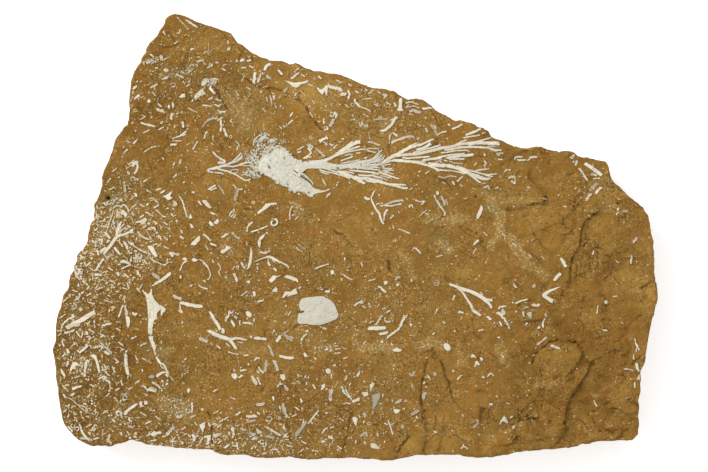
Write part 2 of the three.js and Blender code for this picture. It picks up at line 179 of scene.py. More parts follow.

# fine cracks and scars: path, half width on the chart, depth in mm, darkness; the darkness is partly their own
# dark fill and partly painted shade in them, on some the shadow of a small step
cracks = [
    ("213,86 217,92 223,102 227.6,110", 0.6, 0.35, 0.6),
    ("297,97 303,103 308,110 313,119 318,126 321,129", 0.8, 0.4, 1.0),
    ("462,226 467,229 473,231 477,233 480,238 481,245", 0.45, 0.25, 0.7),
    ("524,216 528,220 531,227 535,236", 0.45, 0.25, 0.85), ("539,230 543,232", 0.4, 0.2, 0.6),
    ("371,251 367,256 364,260", 0.45, 0.2, 0.85), ("387.5,261 389,266 390,270 392,272", 0.6, 0.35, 1.3),
    ("446,277 449,283", 0.4, 0.2, 0.7), ("503,279 505,285", 0.4, 0.2, 0.6),
    ("448,278 452,284", 0.4, 0.2, 0.5),
    ("532,363 535,355 541,349 549,342.6 557,340 567,341 576,342", 0.6, 0.4, 0.9),
    ("604,303 602,310 601,317", 0.45, 0.25, 0.6), ("599,239 598,254 598,269", 0.4, 0.2, 0.5),
    ("592,243 590,258 591,273", 0.4, 0.2, 0.5), ("585,262 585,280 584,296 581,316", 0.4, 0.25, 0.55),
    ("587,228 586,240 583,252", 0.45, 0.3, 0.6), ("563,286 562,293 560,300", 0.45, 0.25, 0.6),
    ("588,374 580,386 572,398", 0.5, 0.3, 0.6), ("537,404 539,410 539,417", 0.5, 0.3, 0.7),
    ("583,300 583,312", 0.4, 0.2, 0.4), ("625,323 626,330 622,338 615,343", 0.5, 0.25, 0.7),
    ("640,316 634,321 628,326", 0.6, 0.25, 0.6), ("655,281 648,284 642,288", 0.6, 0.4, 0.7),
    ("642,357 633,362 622,367", 0.5, 0.3, 0.6),
    ("441,361 443,367 445,373 447.4,381 450,388 452,395 453,400", 0.8, 0.45, 0.95),
    ("453,400 458,405 463,410 475,418", 0.5, 0.3, 0.6),
    ("519,421 526,419 532,418.4 536,418.6 539,417", 0.7, 0.45, 1.1),
    ("551,382 556,378.6 560,375.8", 0.45, 0.25, 0.6),
    ("566,382.4 570,379.6 574,377.4", 0.45, 0.25, 0.6), ("625,364 629,363.6 633,364", 0.5, 0.3, 0.95),
    ("592,412.4 600,407.8 606,404 612,401.4", 0.45, 0.25, 0.65),
    ("597.6,246 598,256 597.6,268", 0.5, 0.25, 0.6), ("442,430 440.6,440 439,452", 1.4, 0.3, 0.4),
    ("452,394 444,398 435,405", 0.45, 0.25, 0.4), ("444,428 442,440 438,452", 0.5, 0.3, 0.45),
    ("352,412 349,425 346,440 341,458", 0.6, 0.4, 0.7),
    ("410,437 401,446 398,453 396,458", 0.8, 0.5, 0.8),
    ("207,411 210,416 212,424 212,434 213,441 212,450", 0.6, 0.6, 0.85),
    ("504,430 508,427 515,424 519,421 521,418 529,416", 0.6, 0.35, 0.75),
    ("529,420 528,430 525,438", 0.4, 0.25, 0.5), ("534,400 538,410 540,417", 0.4, 0.2, 0.45),
    ("543,400 541,410", 0.4, 0.2, 0.4), ("600,405 606,402 612,400", 0.45, 0.25, 0.6),
    ("591,413 597,411", 0.4, 0.2, 0.5), ("69,372 75,378 81,384 92,390", 0.5, 0.3, 0.6),
    ("556,443 559,442", 0.7, 0.4, 0.9), ("620,201 624,206", 0.4, 0.2, 0.5),
    ("589,222 586,232 586,244 583,255", 0.5, 0.25, 0.55),
    ("596,238 595,252 592,268 590,284", 0.4, 0.2, 0.35), ("584,246 582,262 579,280", 0.5, 0.25, 0.45),
    ("578,260 577,270 576,278", 0.5, 0.3, 0.6), ("402,131 410,130 417,129 424,128", 0.35, 0.12, 0.4),
    ("455,206 462,203 470,197 474,194", 0.4, 0.2, 0.4), ("519,425 514,432 512,440", 0.5, 0.3, 0.5),
    ("592,366 586,362 580,366", 0.4, 0.2, 0.4), ("488,307 495,318 500,329 506,338", 0.35, 0.15, 0.35),
    ("427,250 438,258 447,262", 0.35, 0.15, 0.3),
    ("192,318 204,326 215,338 231,347 243,350", 0.35, 0.15, 0.3),
    ("590,330 594,341 592,352", 0.4, 0.2, 0.35), ("498,362 510,371 520,379", 0.35, 0.15, 0.3),
    ("608,262 616,270 622,282", 0.35, 0.15, 0.3), ("228,92 236,97 240,103", 0.35, 0.15, 0.35),
    ("330,228 342,236 349,246", 0.35, 0.12, 0.25), ("256,316 262,322 266,331", 0.35, 0.12, 0.25),
    ("70,352 76,361 84,366", 0.4, 0.2, 0.4),
]

# broad tints of the stone: centre, reach along x and y, lighter or darker; the dark spots at 588,236 and
# 566,420 are painted shadow beside steps
tintsAndStepShadows = [
    (588, 236, 6, 20, -0.22), (528, 411, 12, 9, -0.12), (566, 420, 6, 16, -0.12),
    (150, 110, 90, 110, -0.08), (110, 330, 80, 140, -0.2), (60, 330, 40, 90, -0.1),
    (345, 210, 160, 90, 0.06), (560, 250, 70, 60, -0.08), (590, 400, 80, 80, -0.11),
    (600, 330, 60, 40, -0.1), (470, 120, 60, 40, -0.02),
    (305, 92, 22, 16, 0.30), (558, 352, 18, 12, 0.12), (620, 240, 30, 40, -0.05),
    (480, 330, 80, 60, -0.08), (650, 300, 8, 14, 0.25), (205, 45, 22, 16, 0.05), (413, 445, 6, 9, 0.2),
]

# where pale grains are thick in the stone: centre, reach along x and y, turn in degrees, strength
grainy = [
    (112, 250, 45, 75, 10, 0.75), (85, 350, 38, 85, 0, 0.85), (120, 420, 80, 34, 0, 0.8),
    (240, 440, 90, 20, 0, 0.6), (155, 200, 50, 45, 0, 0.5), (243, 112, 22, 26, 0, 0.75),
    (195, 78, 60, 35, -10, 0.55), (340, 400, 90, 50, 0, 0.5), (610, 240, 40, 50, 10, 0.3),
    (370, 110, 70, 26, 12, 0.5), (174, 408, 22, 16, 0, 0.8), (226, 249, 9, 8, 0, 0.8),
    (470, 190, 40, 14, 10, 0.3), (525, 314, 20, 12, 0, 0.5), (330, 300, 120, 60, 0, 0.42),
    (270, 235, 80, 50, 0, 0.35), (200, 330, 70, 60, 0, 0.46), (440, 300, 50, 60, 0, 0.3),
    (600, 190, 22, 22, 30, 0.3),
]

# stippled streaks of fine shell sand: path, half width, strength
streaks = [
    ("489,199 501,215 499,231 508,237 517,248 526,263 537,269 544,276", 5.5, 1.0),
    ("490,247 498,232", 4.0, 0.8), ("430,218 448,221 464,218", 6.0, 0.75),
    ("439,242 451,251", 5.0, 0.7), ("361,349 378,346 392,349", 5.0, 1.0),
    ("418,345 432,343 446,346", 5.5, 0.9), ("400,252 408,264 413,276", 5.0, 0.6),
    ("536,384 546,386 554,384", 2.6, 0.8), ("458,352 463,364", 5.0, 0.6), ("499,346 502,360", 6.0, 0.6),
    ("228,96 240,110 250,124", 13.0, 0.5), ("296,206 302,217", 6.0, 0.6), ("322,348 333,348", 5.0, 0.6),
    ("354,329 356,341", 5.0, 0.5), ("222,246 231,250", 6.0, 0.6), ("155,352 169,351", 6.0, 0.5),
    ("475,190 500,199 540,202", 5.0, 0.35), ("165,402 182,412", 12.0, 0.6),
    ("240,352 262,350", 5.0, 0.4), ("330,372 342,390", 6.0, 0.4), ("300,330 320,342", 7.0, 0.35),
]

# stains: centre, reach along x and y, strength; yellow above zero, grey green below
stains = [
    (600, 226, 14, 10, 0.6), (596, 251, 8, 14, 0.5), (610, 248, 10, 10, 0.6), (626, 271, 8, 12, 0.7),
    (594, 317, 13, 8, 0.7), (466, 273, 17, 9, 0.7), (545, 240, 28, 14, 0.4), (643, 295, 8, 22, 0.4),
    (500, 170, 40, 10, 0.35), (305, 92, 22, 14, 0.7), (585, 276, 9, 10, 0.5), (480, 232, 16, 12, 0.4),
    (560, 352, 18, 10, 0.5), (470, 315, 12, 8, 0.4), (205, 45, 24, 12, 0.4), (440, 440, 20, 8, 0.5),
    (412, 446, 8, 9, 0.8), (300, 186, 26, 14, 0.4), (345, 240, 40, 22, 0.25), (630, 420, 12, 20, 0.3),
    (157, 350, 13, 9, -0.9), (438, 236, 14, 8, -0.6), (492, 210, 9, 8, -0.6), (501, 353, 8, 10, -0.5),
    (112, 201, 15, 7, -0.9), (243, 112, 20, 18, -0.5), (178, 73, 18, 7, -0.7), (78, 309, 9, 5, -0.8),
    (446, 248, 8, 8, -0.5), (174, 407, 14, 12, -0.4), (110, 420, 10, 8, -0.5), (96, 392, 12, 8, -0.3),
    (372, 398, 8, 10, -0.6), (270, 440, 30, 8, -0.4), (130, 180, 20, 10, -0.4), (430, 100, 20, 6, -0.2),
    (386, 312, 14, 8, -0.3), (220, 180, 30, 8, 0.3), (190, 330, 40, 20, 0.3), (330, 320, 60, 24, 0.2),
]

# the darkness of these pits is painted shade
holes = [  # dark pits: chart place, radius, depth in mm
    (108.4, 198.2, 1.7, 2.2), (533.4, 418.5, 1.1, 0.5), (538.4, 418, 1.0, 0.5), (424.6, 411, 1.0, 0.4),
    (343.4, 428.8, 0.8, 0.4), (211.8, 443.6, 0.9, 0.5),
]

# how strongly the face is broken into facets: everywhere, and added in three parts of it
brokenness = {
    "least": 0.26, "right": 0.74, "lowerLeft": 0.16, "lowerMiddle": 0.35,
    # leastShade is the least contrast of the painted facet shade, and the faint rings are painted shade too
    "leastShade": 0.55, "rings": 15,  # contrast between facets, and how close their faint rings stand
}

# cracks wander and fade in places: sizes on the chart
crackLook = {
    "wander": 1.5, "wanderSize": 4.6, "spread": 1.15,
    "patchSize": 6.0, "faintest": 0.15, "darkest": 1.25,
}

wall = {  # the broken side, sizes in mm
    "crowding": 1.12,  # above 1 the rings stand closer at the rim
    "jitter": 0.35, "grit": 0.12,
    "chipWide": 9.0, "chipTall": 5.5, "chip": 1.5, "smallChip": 0.7, "smaller": 2.3,
    "bedTall": 3.1, "bed": 1.5, "lamina": 0.35,
    "undercut": 2.6, "undercutTall": 6.0,
    "rimKeep": (0.55, 0.8),  # share of the lip that the two rings under the rim may use
    # painted shadow under the lip, as darkness in the two top rings of the wall
    "grime": 0.36,
    "footLift": 0.25, "baseRough": 0.55, "baseLift": 0.12,
}


def alongLine(line, xs, ys):  # distance to a path, side of it and how far past its ends
    best = np.full(xs.shape, 1e9)
    side = np.ones(xs.shape)
    over = np.zeros(xs.shape)
    for (ax, ay), (bx, by) in zip(line, line[1:]):
        run = (bx - ax) ** 2 + (by - ay) ** 2
        raw = ((xs - ax) * (bx - ax) + (ys - ay) * (by - ay)) / run
        t = np.clip(raw, 0.0, 1.0)
        dist = np.hypot(xs - ax - t * (bx - ax), ys - ay - t * (by - ay))
        near = dist < best
        best = np.where(near, dist, best)
        cross = (bx - ax) * (ys - ay) - (by - ay) * (xs - ax)
        side = np.where(near, np.where(cross < 0, 1.0, -1.0), side)
        over = np.where(near, np.abs(raw - t) * math.sqrt(run), over)
    return best, side, over


def grainField(xs, ys, size, seed, octaves=3):  # smooth random field on the chart
    return np.array([noise.fractal((x / size, y / size, seed), 0.9, 2.1, octaves) for x, y in zip(xs, ys)])


def turnedSpots(xs, ys, spots):  # the strongest of some flat-topped ovals
    total = np.zeros(xs.shape)
    for cx, cy, rx, ry, turn, strength in spots:
        c, s = math.cos(math.radians(turn)), math.sin(math.radians(turn))
        du, dv = (xs - cx) * c + (ys - cy) * s, (ys - cy) * c - (xs - cx) * s
        total = np.maximum(total, strength * (1.0 - smoothStep(0.45, 1.25, np.hypot(du / rx, dv / ry))))
    return total


def softSpots(xs, ys, spots):  # the sum of some soft spots
    return sum(strength * np.exp(-((xs - cx) / rx) ** 2 - ((ys - cy) / ry) ** 2)
               for cx, cy, rx, ry, strength in spots)


def faceRise(xs, ys):  # height of the bedding face in mm at chart places
    (longX, longY), (shortX, shortY) = slab["swellOver"], slab["rippleOver"]
    rise = slab["faceHeight"] + slab["swell"] * np.sin(xs / longX + 0.6) * np.cos(ys / longY)
    rise = rise + slab["ripple"] * np.sin(xs / shortX + ys / shortY)
    wander = grainField(xs, ys, 9.0, 3.1, 2)
    for ledge in ledges:
        dist, side, over = alongLine(readPoints(ledge["line"]), xs, ys)
        low = math.copysign(1.0, ledge["drop"]) * side * dist + 0.8 * wander
        fade = (1 - smoothStep(ledge["reach"] * 0.35, ledge["reach"], dist)) * (1 - smoothStep(0, 24, over))
        rise = rise - abs(ledge["drop"]) * smoothStep(-ledge["soft"], ledge["soft"], low) * fade
    return rise


# each facet's shade is painted, following its tilt
def facetRelief(xs, ys):  # broken scalloped surface in mm, and a shade for each facet
    strength = brokenness["least"] + brokenness["right"] * smoothStep(445, 560, xs)
    strength = strength + brokenness["lowerLeft"] * smoothStep(375, 430, ys) * smoothStep(380, 300, xs)
    strength = strength + brokenness["lowerMiddle"] * smoothStep(360, 420, ys) * smoothStep(400, 480, xs)
    facetShadeStrength = np.maximum(strength, brokenness["leastShade"])
    rise, shade = np.zeros(xs.shape), np.zeros(xs.shape)
    for facet in facets:
        size = facet["size"]
        for k, (x, y) in enumerate(zip(xs, ys)):
            place = Vector((x / size, y / size * facet["squash"], facet["seed"]))
            place += 0.5 * noise.noise_vector(place * 1.3)
            centre = noise.voronoi(place)[1][0]
            lean = noise.noise_vector(centre * 6.1)
            rise[k] += strength[k] * (facet["tilt"] * (place - centre).dot(lean) + facet["step"] * lean.z)
            # painted shade: a facet tilting towards the lamp on the left (lean.x) is painted lighter, one
            # tilting away darker, and faint rings are painted over it
            ring = math.sin(brokenness["rings"] * (place - centre).length + 9 * lean.y)
            ring *= max(0.0, noise.noise(place * 1.9) + 0.25)
            shade[k] += facetShadeStrength[k] * facet["shade"] * (lean.x + 0.9 * ring)
    return rise, shade


def faceDetail(xs, ys):  # thin laminae, dimples and grain on top of the broad shape
    steps = grainField(xs, ys, 62.0, 11.0, 3) * 5.0
    lamina = np.floor(steps) + smoothStep(0.42, 0.58, steps - np.floor(steps))
    return (slab["lamina"] * lamina + slab["dimples"] * grainField(xs, ys, 17.0, 5.0, 3)
            + slab["grit"] * grainField(xs, ys, 5.0, 8.0, 3))


# the darkness is partly the cracks' own dark fill and partly painted shade: in the cracks, in the pits and
# along the steps
def crackField(xs, ys):  # depth in mm and darkness of the cracks, pits and ledge lines
    depth = np.zeros(xs.shape)
    dark = np.zeros(xs.shape)
    for cx, cy, radius, deep in holes:
        pit = np.exp(-((xs - cx) ** 2 + (ys - cy) ** 2) / radius ** 2)
        # painted shade in the pits
        depth, dark = np.maximum(depth, deep * pit), np.maximum(dark, np.minimum(1.4 * pit, 1.0))
    wander, size = crackLook["wander"], crackLook["wanderSize"]
    xs = xs + wander * grainField(xs, ys, size, 31.0, 2)
    ys = ys + wander * grainField(xs, ys, size, 47.0, 2)
    patchy = 0.8 + 1.5 * grainField(xs, ys, crackLook["patchSize"], 53.0, 2)
    patchy = np.clip(patchy, crackLook["faintest"], crackLook["darkest"])
    for path, half, deep, shade in cracks:
        dist = alongLine(readPoints(path), xs, ys)[0]
        cut = np.exp(-(dist / (half * crackLook["spread"])) ** 2) * np.minimum(patchy, 1.0)
        depth = np.maximum(depth, deep * cut)
        dark = np.maximum(dark, shade * cut)
    # painted shadow lines along the steps
    for ledge in ledges:
        dist, _, over = alongLine(readPoints(ledge["line"]), xs, ys)
        line = ledge["dark"] * np.exp(-(dist / ledge["width"]) ** 2) * (1 - smoothStep(0, 6, over))
        dark = np.maximum(dark, line * patchy ** 1.7)
    return depth, np.minimum(dark, 1.0)


def edgeRuns(ring, cells):  # the four sides between the named corners, resampled for the grid
    corner = [min(range(len(ring)), key=lambda k: math.dist(ring[k], c)) for c in slab["corners"]]
    sides = []
    for k in range(4):
        a, b = corner[k], corner[(k + 1) % 4]
        run = ring[a:b + 1] if a < b else ring[a:] + ring[:b + 1]
        sides.append(resample(run, cells[k % 2] + 1))
    return sides


def inwardNormals(loop):  # loop is a closed array of chart points, clockwise as seen from above
    along = np.roll(loop, -2, axis=0) - np.roll(loop, 2, axis=0)
    along /= np.maximum(np.hypot(along[:, 0], along[:, 1]), 1e-9)[:, None]
    return np.stack([-along[:, 1], along[:, 0]], axis=1)


def chipField(place, seed):  # flat facets with steps between them, about 0 to 1
    place = place + Vector((seed, 0, 0))
    centre = noise.voronoi(place)[1][0]
    lean = noise.noise_vector(centre * 7.3 + Vector((seed, 2.0, 5.0)))
    return 0.5 + 0.55 * (place - centre).dot(lean) + 0.5 * lean.z


def growEdges(bm, edges):  # extrude open edges: the new points and the new open edges
    grown = bmesh.ops.extrude_edge_only(bm, edges=edges)["geom"]
    return ([g for g in grown if isinstance(g, bmesh.types.BMVert)],
            [g for g in grown if isinstance(g, bmesh.types.BMEdge) and g.is_boundary])


def chartPlaces(bm):
    return np.array([v.co.x for v in bm.verts]), np.array([v.co.y for v in bm.verts])


def makeSlab():
    cells, unit = slab["cells"], chart["stepMm"]
    loop = np.concatenate([run[:-1] for run in edgeRuns(outline, cells)])
    loop = loop - inwardNormals(loop) * slab["spread"]
    count = len(loop)
    inward = inwardNormals(loop)
    least, chipped = slab["lip"]
    lip = np.array([least + chipped * max(0.0, noise.fractal((x / 9, y / 9, 4.0), 0.8, 2.0, 3) + 0.35)
                    for x, y in loop]) / unit
    face = loop + inward * lip[:, None]
    offsets = np.cumsum([0] + [cells[k % 2] for k in range(4)])
    top, right, bottom, left = [np.concatenate([face[a:b], face[[b % count]]])
                                for a, b in zip(offsets[:-1], offsets[1:])]
    bottom, left = bottom[::-1], left[::-1]

    bm = bmesh.new()
    bmesh.ops.create_grid(bm, x_segments=cells[0], y_segments=cells[1], size=1)
    rimOrder = bm.verts.layers.int.new("rimOrder")
    for v in bm.verts:  # the square grid is stretched to the four sides
        i, j = round((v.co.x + 1) / 2 * cells[0]), round((1 - v.co.y) / 2 * cells[1])
        s, t = i / cells[0], j / cells[1]
        spot = ((1 - t) * top[i] + t * bottom[i] + (1 - s) * left[j] + s * right[j]
                - (1 - s) * (1 - t) * top[0] - s * (1 - t) * top[-1]
                - (1 - s) * t * bottom[0] - s * t * bottom[-1])
        v.co = (spot[0], spot[1], 0)
        v[rimOrder] = 0
        if v.is_boundary:  # numbered from 1 so that 0 means inside
            if j == 0:
                v[rimOrder] = 1 + i
            elif i == cells[0]:
                v[rimOrder] = 1 + offsets[1] + j
            elif j == cells[1]:
                v[rimOrder] = 1 + offsets[2] + cells[0] - i
            else:
                v[rimOrder] = 1 + offsets[3] + cells[1] - j
    print("slab: grid of", len(bm.faces), "faces")

    # finer mesh beside the cracks, steps and pits
    xs, ys = chartPlaces(bm)
    near = np.zeros(xs.shape, dtype=bool)
    fine = [(c[0], slab["refineReach"][0]) for c in cracks]
    fine += [(g["line"], slab["refineReach"][1]) for g in ledges]
    fine += [(f"{h[0]},{h[1]} {h[0] + 0.1},{h[1]}", slab["refineReach"][2]) for h in holes]
    for line, reach in fine:
        near |= alongLine(readPoints(line), xs, ys)[0] < reach
    bm.verts.index_update()
    outer = {v.index for v in bm.verts if v.is_boundary}
    outer |= {e.other_vert(v).index for v in bm.verts if v.index in outer for e in v.link_edges}
    fineEdges = [e for e in bm.edges if all(near[v.index] and v.index not in outer for v in e.verts)]
    bmesh.ops.subdivide_edges(bm, edges=fineEdges, cuts=slab["refineCuts"], use_grid_fill=True)
    bmesh.ops.triangulate(bm, faces=[f for f in bm.faces if len(f.verts) > 4])
    print("slab: refined to", len(bm.faces), "faces")

    xs, ys = chartPlaces(bm)
    depth, dark = crackField(xs, ys)
    broken, paintedFacetShade = facetRelief(xs, ys)
    rise = faceRise(xs, ys) + faceDetail(xs, ys) + broken - depth
    stipple = np.zeros(xs.shape)
    ragged = 1 + 0.7 * grainField(xs, ys, 5.0, 61.0, 2)
    for path, half, strength in streaks:
        dist = alongLine(readPoints(path), xs, ys)[0]
        stipple = np.maximum(stipple, strength * (1 - smoothStep(0.3 * half, 1.2 * half, dist * ragged)))
    grain = np.clip(turnedSpots(xs, ys, grainy) * (0.75 + 0.6 * grainField(xs, ys, 14.0, 21.0)), 0, 1)
    stain = softSpots(xs, ys, stains) * (1 + 1.2 * grainField(xs, ys, 8.0, 71.0))
    # tone: painted facet shade, with broad tints and painted shadow beside two steps
    tone = paintedFacetShade + softSpots(xs, ys, tintsAndStepShadows)
    # one layer holds the cracks' dark fill and painted shade in cracks, pits, along steps and under the lip
    looks = {"stipple": stipple, "stain": stain, "crack": dark, "grainy": grain, "tone": tone,
             "side": np.zeros(xs.shape)}
    layers = {name: bm.verts.layers.float.new(name) for name in looks}
    topRise = {}
    for k, v in enumerate(bm.verts):
        v.co = (toX(xs[k]), toY(ys[k]), rise[k] * mm)
        for name, values in looks.items():
            v[layers[name]] = values[k]
        if v[rimOrder]:
            topRise[v[rimOrder] - 1] = rise[k]
    bmesh.ops.recalc_face_normals(bm, faces=bm.faces[:])

    # wall: rings pulled down from the lip, broken into facets and bedding layers
    rings = slab["wallRings"]
    levels = [1 - (k / rings) ** wall["crowding"] for k in range(1, rings + 1)]
    insets = np.zeros((rings, count))
    heights = np.zeros((rings, count))
    for i in range(count):
        px, py = loop[i] * unit
        for k, level in enumerate(levels):
            z = topRise[i] * level
            if 0 < k < rings - 1:
                z += wall["jitter"] * bumpAt(px, py, 6, k * 1.7)
            heights[k, i] = z
            place = Vector((px / wall["chipWide"], py / wall["chipWide"], z / wall["chipTall"]))
            chips = wall["chip"] * chipField(place, 0.0)
            chips += wall["smallChip"] * chipField(place * wall["smaller"], 9.0)
            layer = math.floor(z / wall["bedTall"] + 0.5 * bumpAt(px, py, 25, 1.0) + 0.3)
            shelf = bumpAt(px, py, 10, layer * 7.7) + 0.5 * bumpAt(px, py, 4, layer * 3.1)
            bed = wall["bed"] * shelf + bumpAt(px, py, 30, z / 0.9) * wall["lamina"]
            under = wall["undercut"] * float(smoothStep(wall["undercutTall"], 0.0, z))
            under *= 0.6 + 0.6 * bumpAt(px, py, 22, 3.0)
            insets[k, i] = chips + bed + under + wall["grit"] * bumpAt(px, py, 1.6, z / 1.2)
        insets[:, i] -= insets[:, i].min()
        for k, keep in enumerate(wall["rimKeep"]):
            insets[k, i] = min(insets[k, i], lip[i] * unit * keep)
    openEdges = [e for e in bm.edges if e.is_boundary]
    for k in range(rings):
        points, openEdges = growEdges(bm, openEdges)
        for v in points:
            i = v[rimOrder] - 1
            spot = loop[i] + inward[i] * insets[k, i] / unit
            v.co = (toX(spot[0]), toY(spot[1]), max(heights[k, i], 0.0) * mm)
            v[layers["side"]] = min(1.0, 0.55 + 0.25 * k)
            # the two rings under the lip get a painted shadow, in the crack layer
            v[layers["crack"]] = wall["grime"] if k < 2 else 0.0
            for name in ("grainy", "stipple", "stain"):
                v[layers[name]] = 0.0
            if k == rings - 1:
                v.co.z = wall["footLift"] * mm * (1 + bumpAt(spot[0], spot[1], 12, 7.0))
    # underside: rings drawn in to the middle, flat where it rests
    for scale in slab["baseRings"]:
        points, openEdges = growEdges(bm, openEdges)
        for v in points:
            i = v[rimOrder] - 1
            spot = loop[i] + inward[i] * insets[-1, i] / unit
            x, y = toX(spot[0]) * scale, toY(spot[1]) * scale
            rough = noise.fractal((x * 60, y * 60, 2.0), 0.8, 2.0, 4)
            v.co = (x, y, max(0.0, wall["baseRough"] * rough + wall["baseLift"]) * mm)
    bmesh.ops.pointmerge(bm, verts=[v for v in bm.verts if v.is_boundary], merge_co=(0, 0, 0))
    bmesh.ops.recalc_face_normals(bm, faces=bm.faces[:])
    print("slab:", sum(len(f.verts) - 2 for f in bm.faces), "triangles")
    return bm


# fossils: each is one or more bands, a grid stretched between two edges and draped on the face
relief = {
    "proud": 0.32,  # mm that a fossil's crest stands above the stone
    "buried": 0.03, "foot": 0.5,  # mm below the stone at the edge, and where the underside closes
    "edge": 0.42, "grown": 0.24,  # on the chart: width of the steep edge, and growth past the drawn width
    "lumps": 0.06, "pit": 0.3,  # mm
    "hollow": 0.35, "sunk": 0.12,  # share of the wider loose twigs that are worn open, and how deep in mm
    "bluish": 0.12,  # share of the loose fragments that are blue grey
    "limits": (0.0125, 0.0014),  # metres: lowest place for a fossil, and a step it may not hang over
}
bakeMap = "OFBake"
above, down = 0.04, Vector((0, 0, -1))  # where the probes that feel for the face start, and their direction
chartSize = (480, 720)
taken = np.zeros(chartSize, dtype=bool)  # chart squares that a placed fossil covers
rimCells = {(int(x) + dx, int(y) + dy) for x, y in resample(outline + outline[:1], 3000)
            for dx in range(-7, 8) for dy in range(-7, 8)}  # chart squares near the rim
faceTree = None


def surfaceAt(x, y, missed=0.012):  # height of the block's face in metres
    hit = faceTree.ray_cast(Vector((x, y, above)), down)
    return hit[0].z if hit[0] else missed


def offFace(cx, cy):  # past the rim, or on the broken side below it
    if (int(cx), int(cy)) not in rimCells:
        return False
    heights = [surfaceAt(toX(cx + dx), toY(cy + dy), 0.0)
               for dx, dy in ((0, 0), (1.2, 0), (-1.2, 0), (0, 1.2), (0, -1.2))]
    lowest, step = relief["limits"]
    return heights[0] < lowest or heights[0] < max(heights) - step


def spread(count, edge, width):  # row positions 0..1 with a narrow first and last row
    first = min(edge / max(width, 1e-6), 0.8 / count)
    inner = np.linspace(first, 1 - first, count - 1)
    return np.concatenate([[0.0], inner, [1.0]])


def pathLength(points):
    return sum(math.dist(a[:2], b[:2]) for a, b in zip(points, points[1:]))


def roughEdge(place, coarse, fine, side, share):
    x, y = place[0], place[1]
    return noise.noise((x * coarse, y * coarse, side)) + share * noise.noise((x * fine, y * fine, side))


def pathBand(points, width=None, tone=0.0, ragged=0.12, blunt=0.35, grid=None, skew=(0, 0), curved=True):
    pts = [tuple(p[:2]) + ((p[2] if len(p) > 2 else width),) for p in points]
    if curved:
        pts = rounded(pts)
    length, widest = pathLength(pts), max(p[2] for p in pts)
    fineGrid = (max(4, min(90, round(length / 0.8))), max(4, min(10, 2 * round(widest / 1.1))))
    segU, segV = grid or fineGrid
    path = np.array(pts)
    run = runAlong(path)
    at = spread(segU, relief["edge"], max(length, 0.5)) * run[-1]
    line = np.stack([np.interp(at, run, path[:, k]) for k in range(3)], axis=1)
    along = np.gradient(line[:, :2], axis=0)
    along /= np.maximum(np.hypot(along[:, 0], along[:, 1]), 1e-6)[:, None]
    normal = np.stack([-along[:, 1], along[:, 0]], axis=1)
    ends = np.minimum(at, run[-1] - at)
    taper = np.maximum(1 - blunt * np.clip(1 - ends / (0.5 * line[:, 2] + 0.1), 0, 1) ** 2, 0.2)
    half = (line[:, 2] / 2 + relief["grown"]) * taper
    slant = (skew[0] * np.clip(1 - at / (1.3 * widest), 0, 1)
             + skew[1] * np.clip(1 - (run[-1] - at) / (1.3 * widest), 0, 1)) * half  # ends cut off aslant
    edges = []
    for side, sign in ((3.0, 1.0), (9.0, -1.0)):
        rough = np.array([roughEdge(p, 0.6, 1.8, side, 0.8) for p in line])
        bite = np.array([smoothStep(0.25, 0.5, noise.noise((p[0] * 0.8, p[1] * 0.8, side * 3.0)))
                         for p in line])
        out = half * (1 + 1.5 * ragged * rough) * (1 - 1.7 * ragged * bite)
        edges.append(line[:, :2] + sign * normal * out[:, None] + sign * along * slant[:, None])
    # how strong the dark seam and painted contact shade along the edge are, stronger on wide bands
    return {"a": edges[0], "b": edges[1], "ends": ends, "tone": tone, "rows": segV,
            "rim": min(1.0, 0.35 + widest * 0.3)}


def sheetBand(edgeA, edgeB, tone=0.0, ragged=0.35, cell=0.8, grid=None, curved=True):
    a = rounded(edgeA) if curved else edgeA
    b = rounded(edgeB) if curved else edgeB
    length = max(pathLength(a), pathLength(b))
    count = grid[0] if grid else max(4, min(110, round(length / cell)))
    first, last = np.array(resample(a, count + 1)), np.array(resample(b, count + 1))
    width = np.hypot(*(first - last).T)
    rows = grid[1] if grid else max(4, min(60, 2 * round(width.max() / cell / 2)))
    outward = (first - last) / np.maximum(width, 1e-6)[:, None]
    for edge, sign, side in ((first, 1, 4.0), (last, -1, 8.0)):
        for k in range(count + 1):
            edge[k] += sign * outward[k] * (ragged * roughEdge(edge[k], 0.45, 1.3, side, 0.6))
    run = runAlong((first + last) / 2)
    ends = np.minimum(run, run[-1] - run) + 0.05
    return {"a": first, "b": last, "ends": ends, "tone": tone, "rows": rows}


def patchBand(corners, tone=0.0, ragged=0.2, grid=None):  # a small closed patch, split at its far ends
    n = len(corners)
    pairs = ((i, j) for i in range(n) for j in range(i))
    i, j = max(pairs, key=lambda ij: math.dist(corners[ij[0]], corners[ij[1]]))
    one = [corners[k % n] for k in range(j, i + 1)]
    two = [corners[k % n] for k in range(i, j + n + 1)][::-1]

    def trimmed(chain):  # both chains start a little way in, so the tips stay blunt
        start = tuple(0.85 * p + 0.15 * q for p, q in zip(chain[0], chain[1]))
        end = tuple(0.85 * p + 0.15 * q for p, q in zip(chain[-1], chain[-2]))
        return [start] + chain[1:-1] + [end] if len(chain) > 2 else [start, end]

    return sheetBand(trimmed(one), trimmed(two), tone, ragged, grid=grid, curved=False)


def insideOutline(x, y, corners):
    inside = False
    for (ax, ay), (bx, by) in zip(corners, corners[1:] + corners[:1]):
        if (ay > y) != (by > y) and x < (bx - ax) * (y - ay) / (by - ay) + ax:
            inside = not inside
    return inside


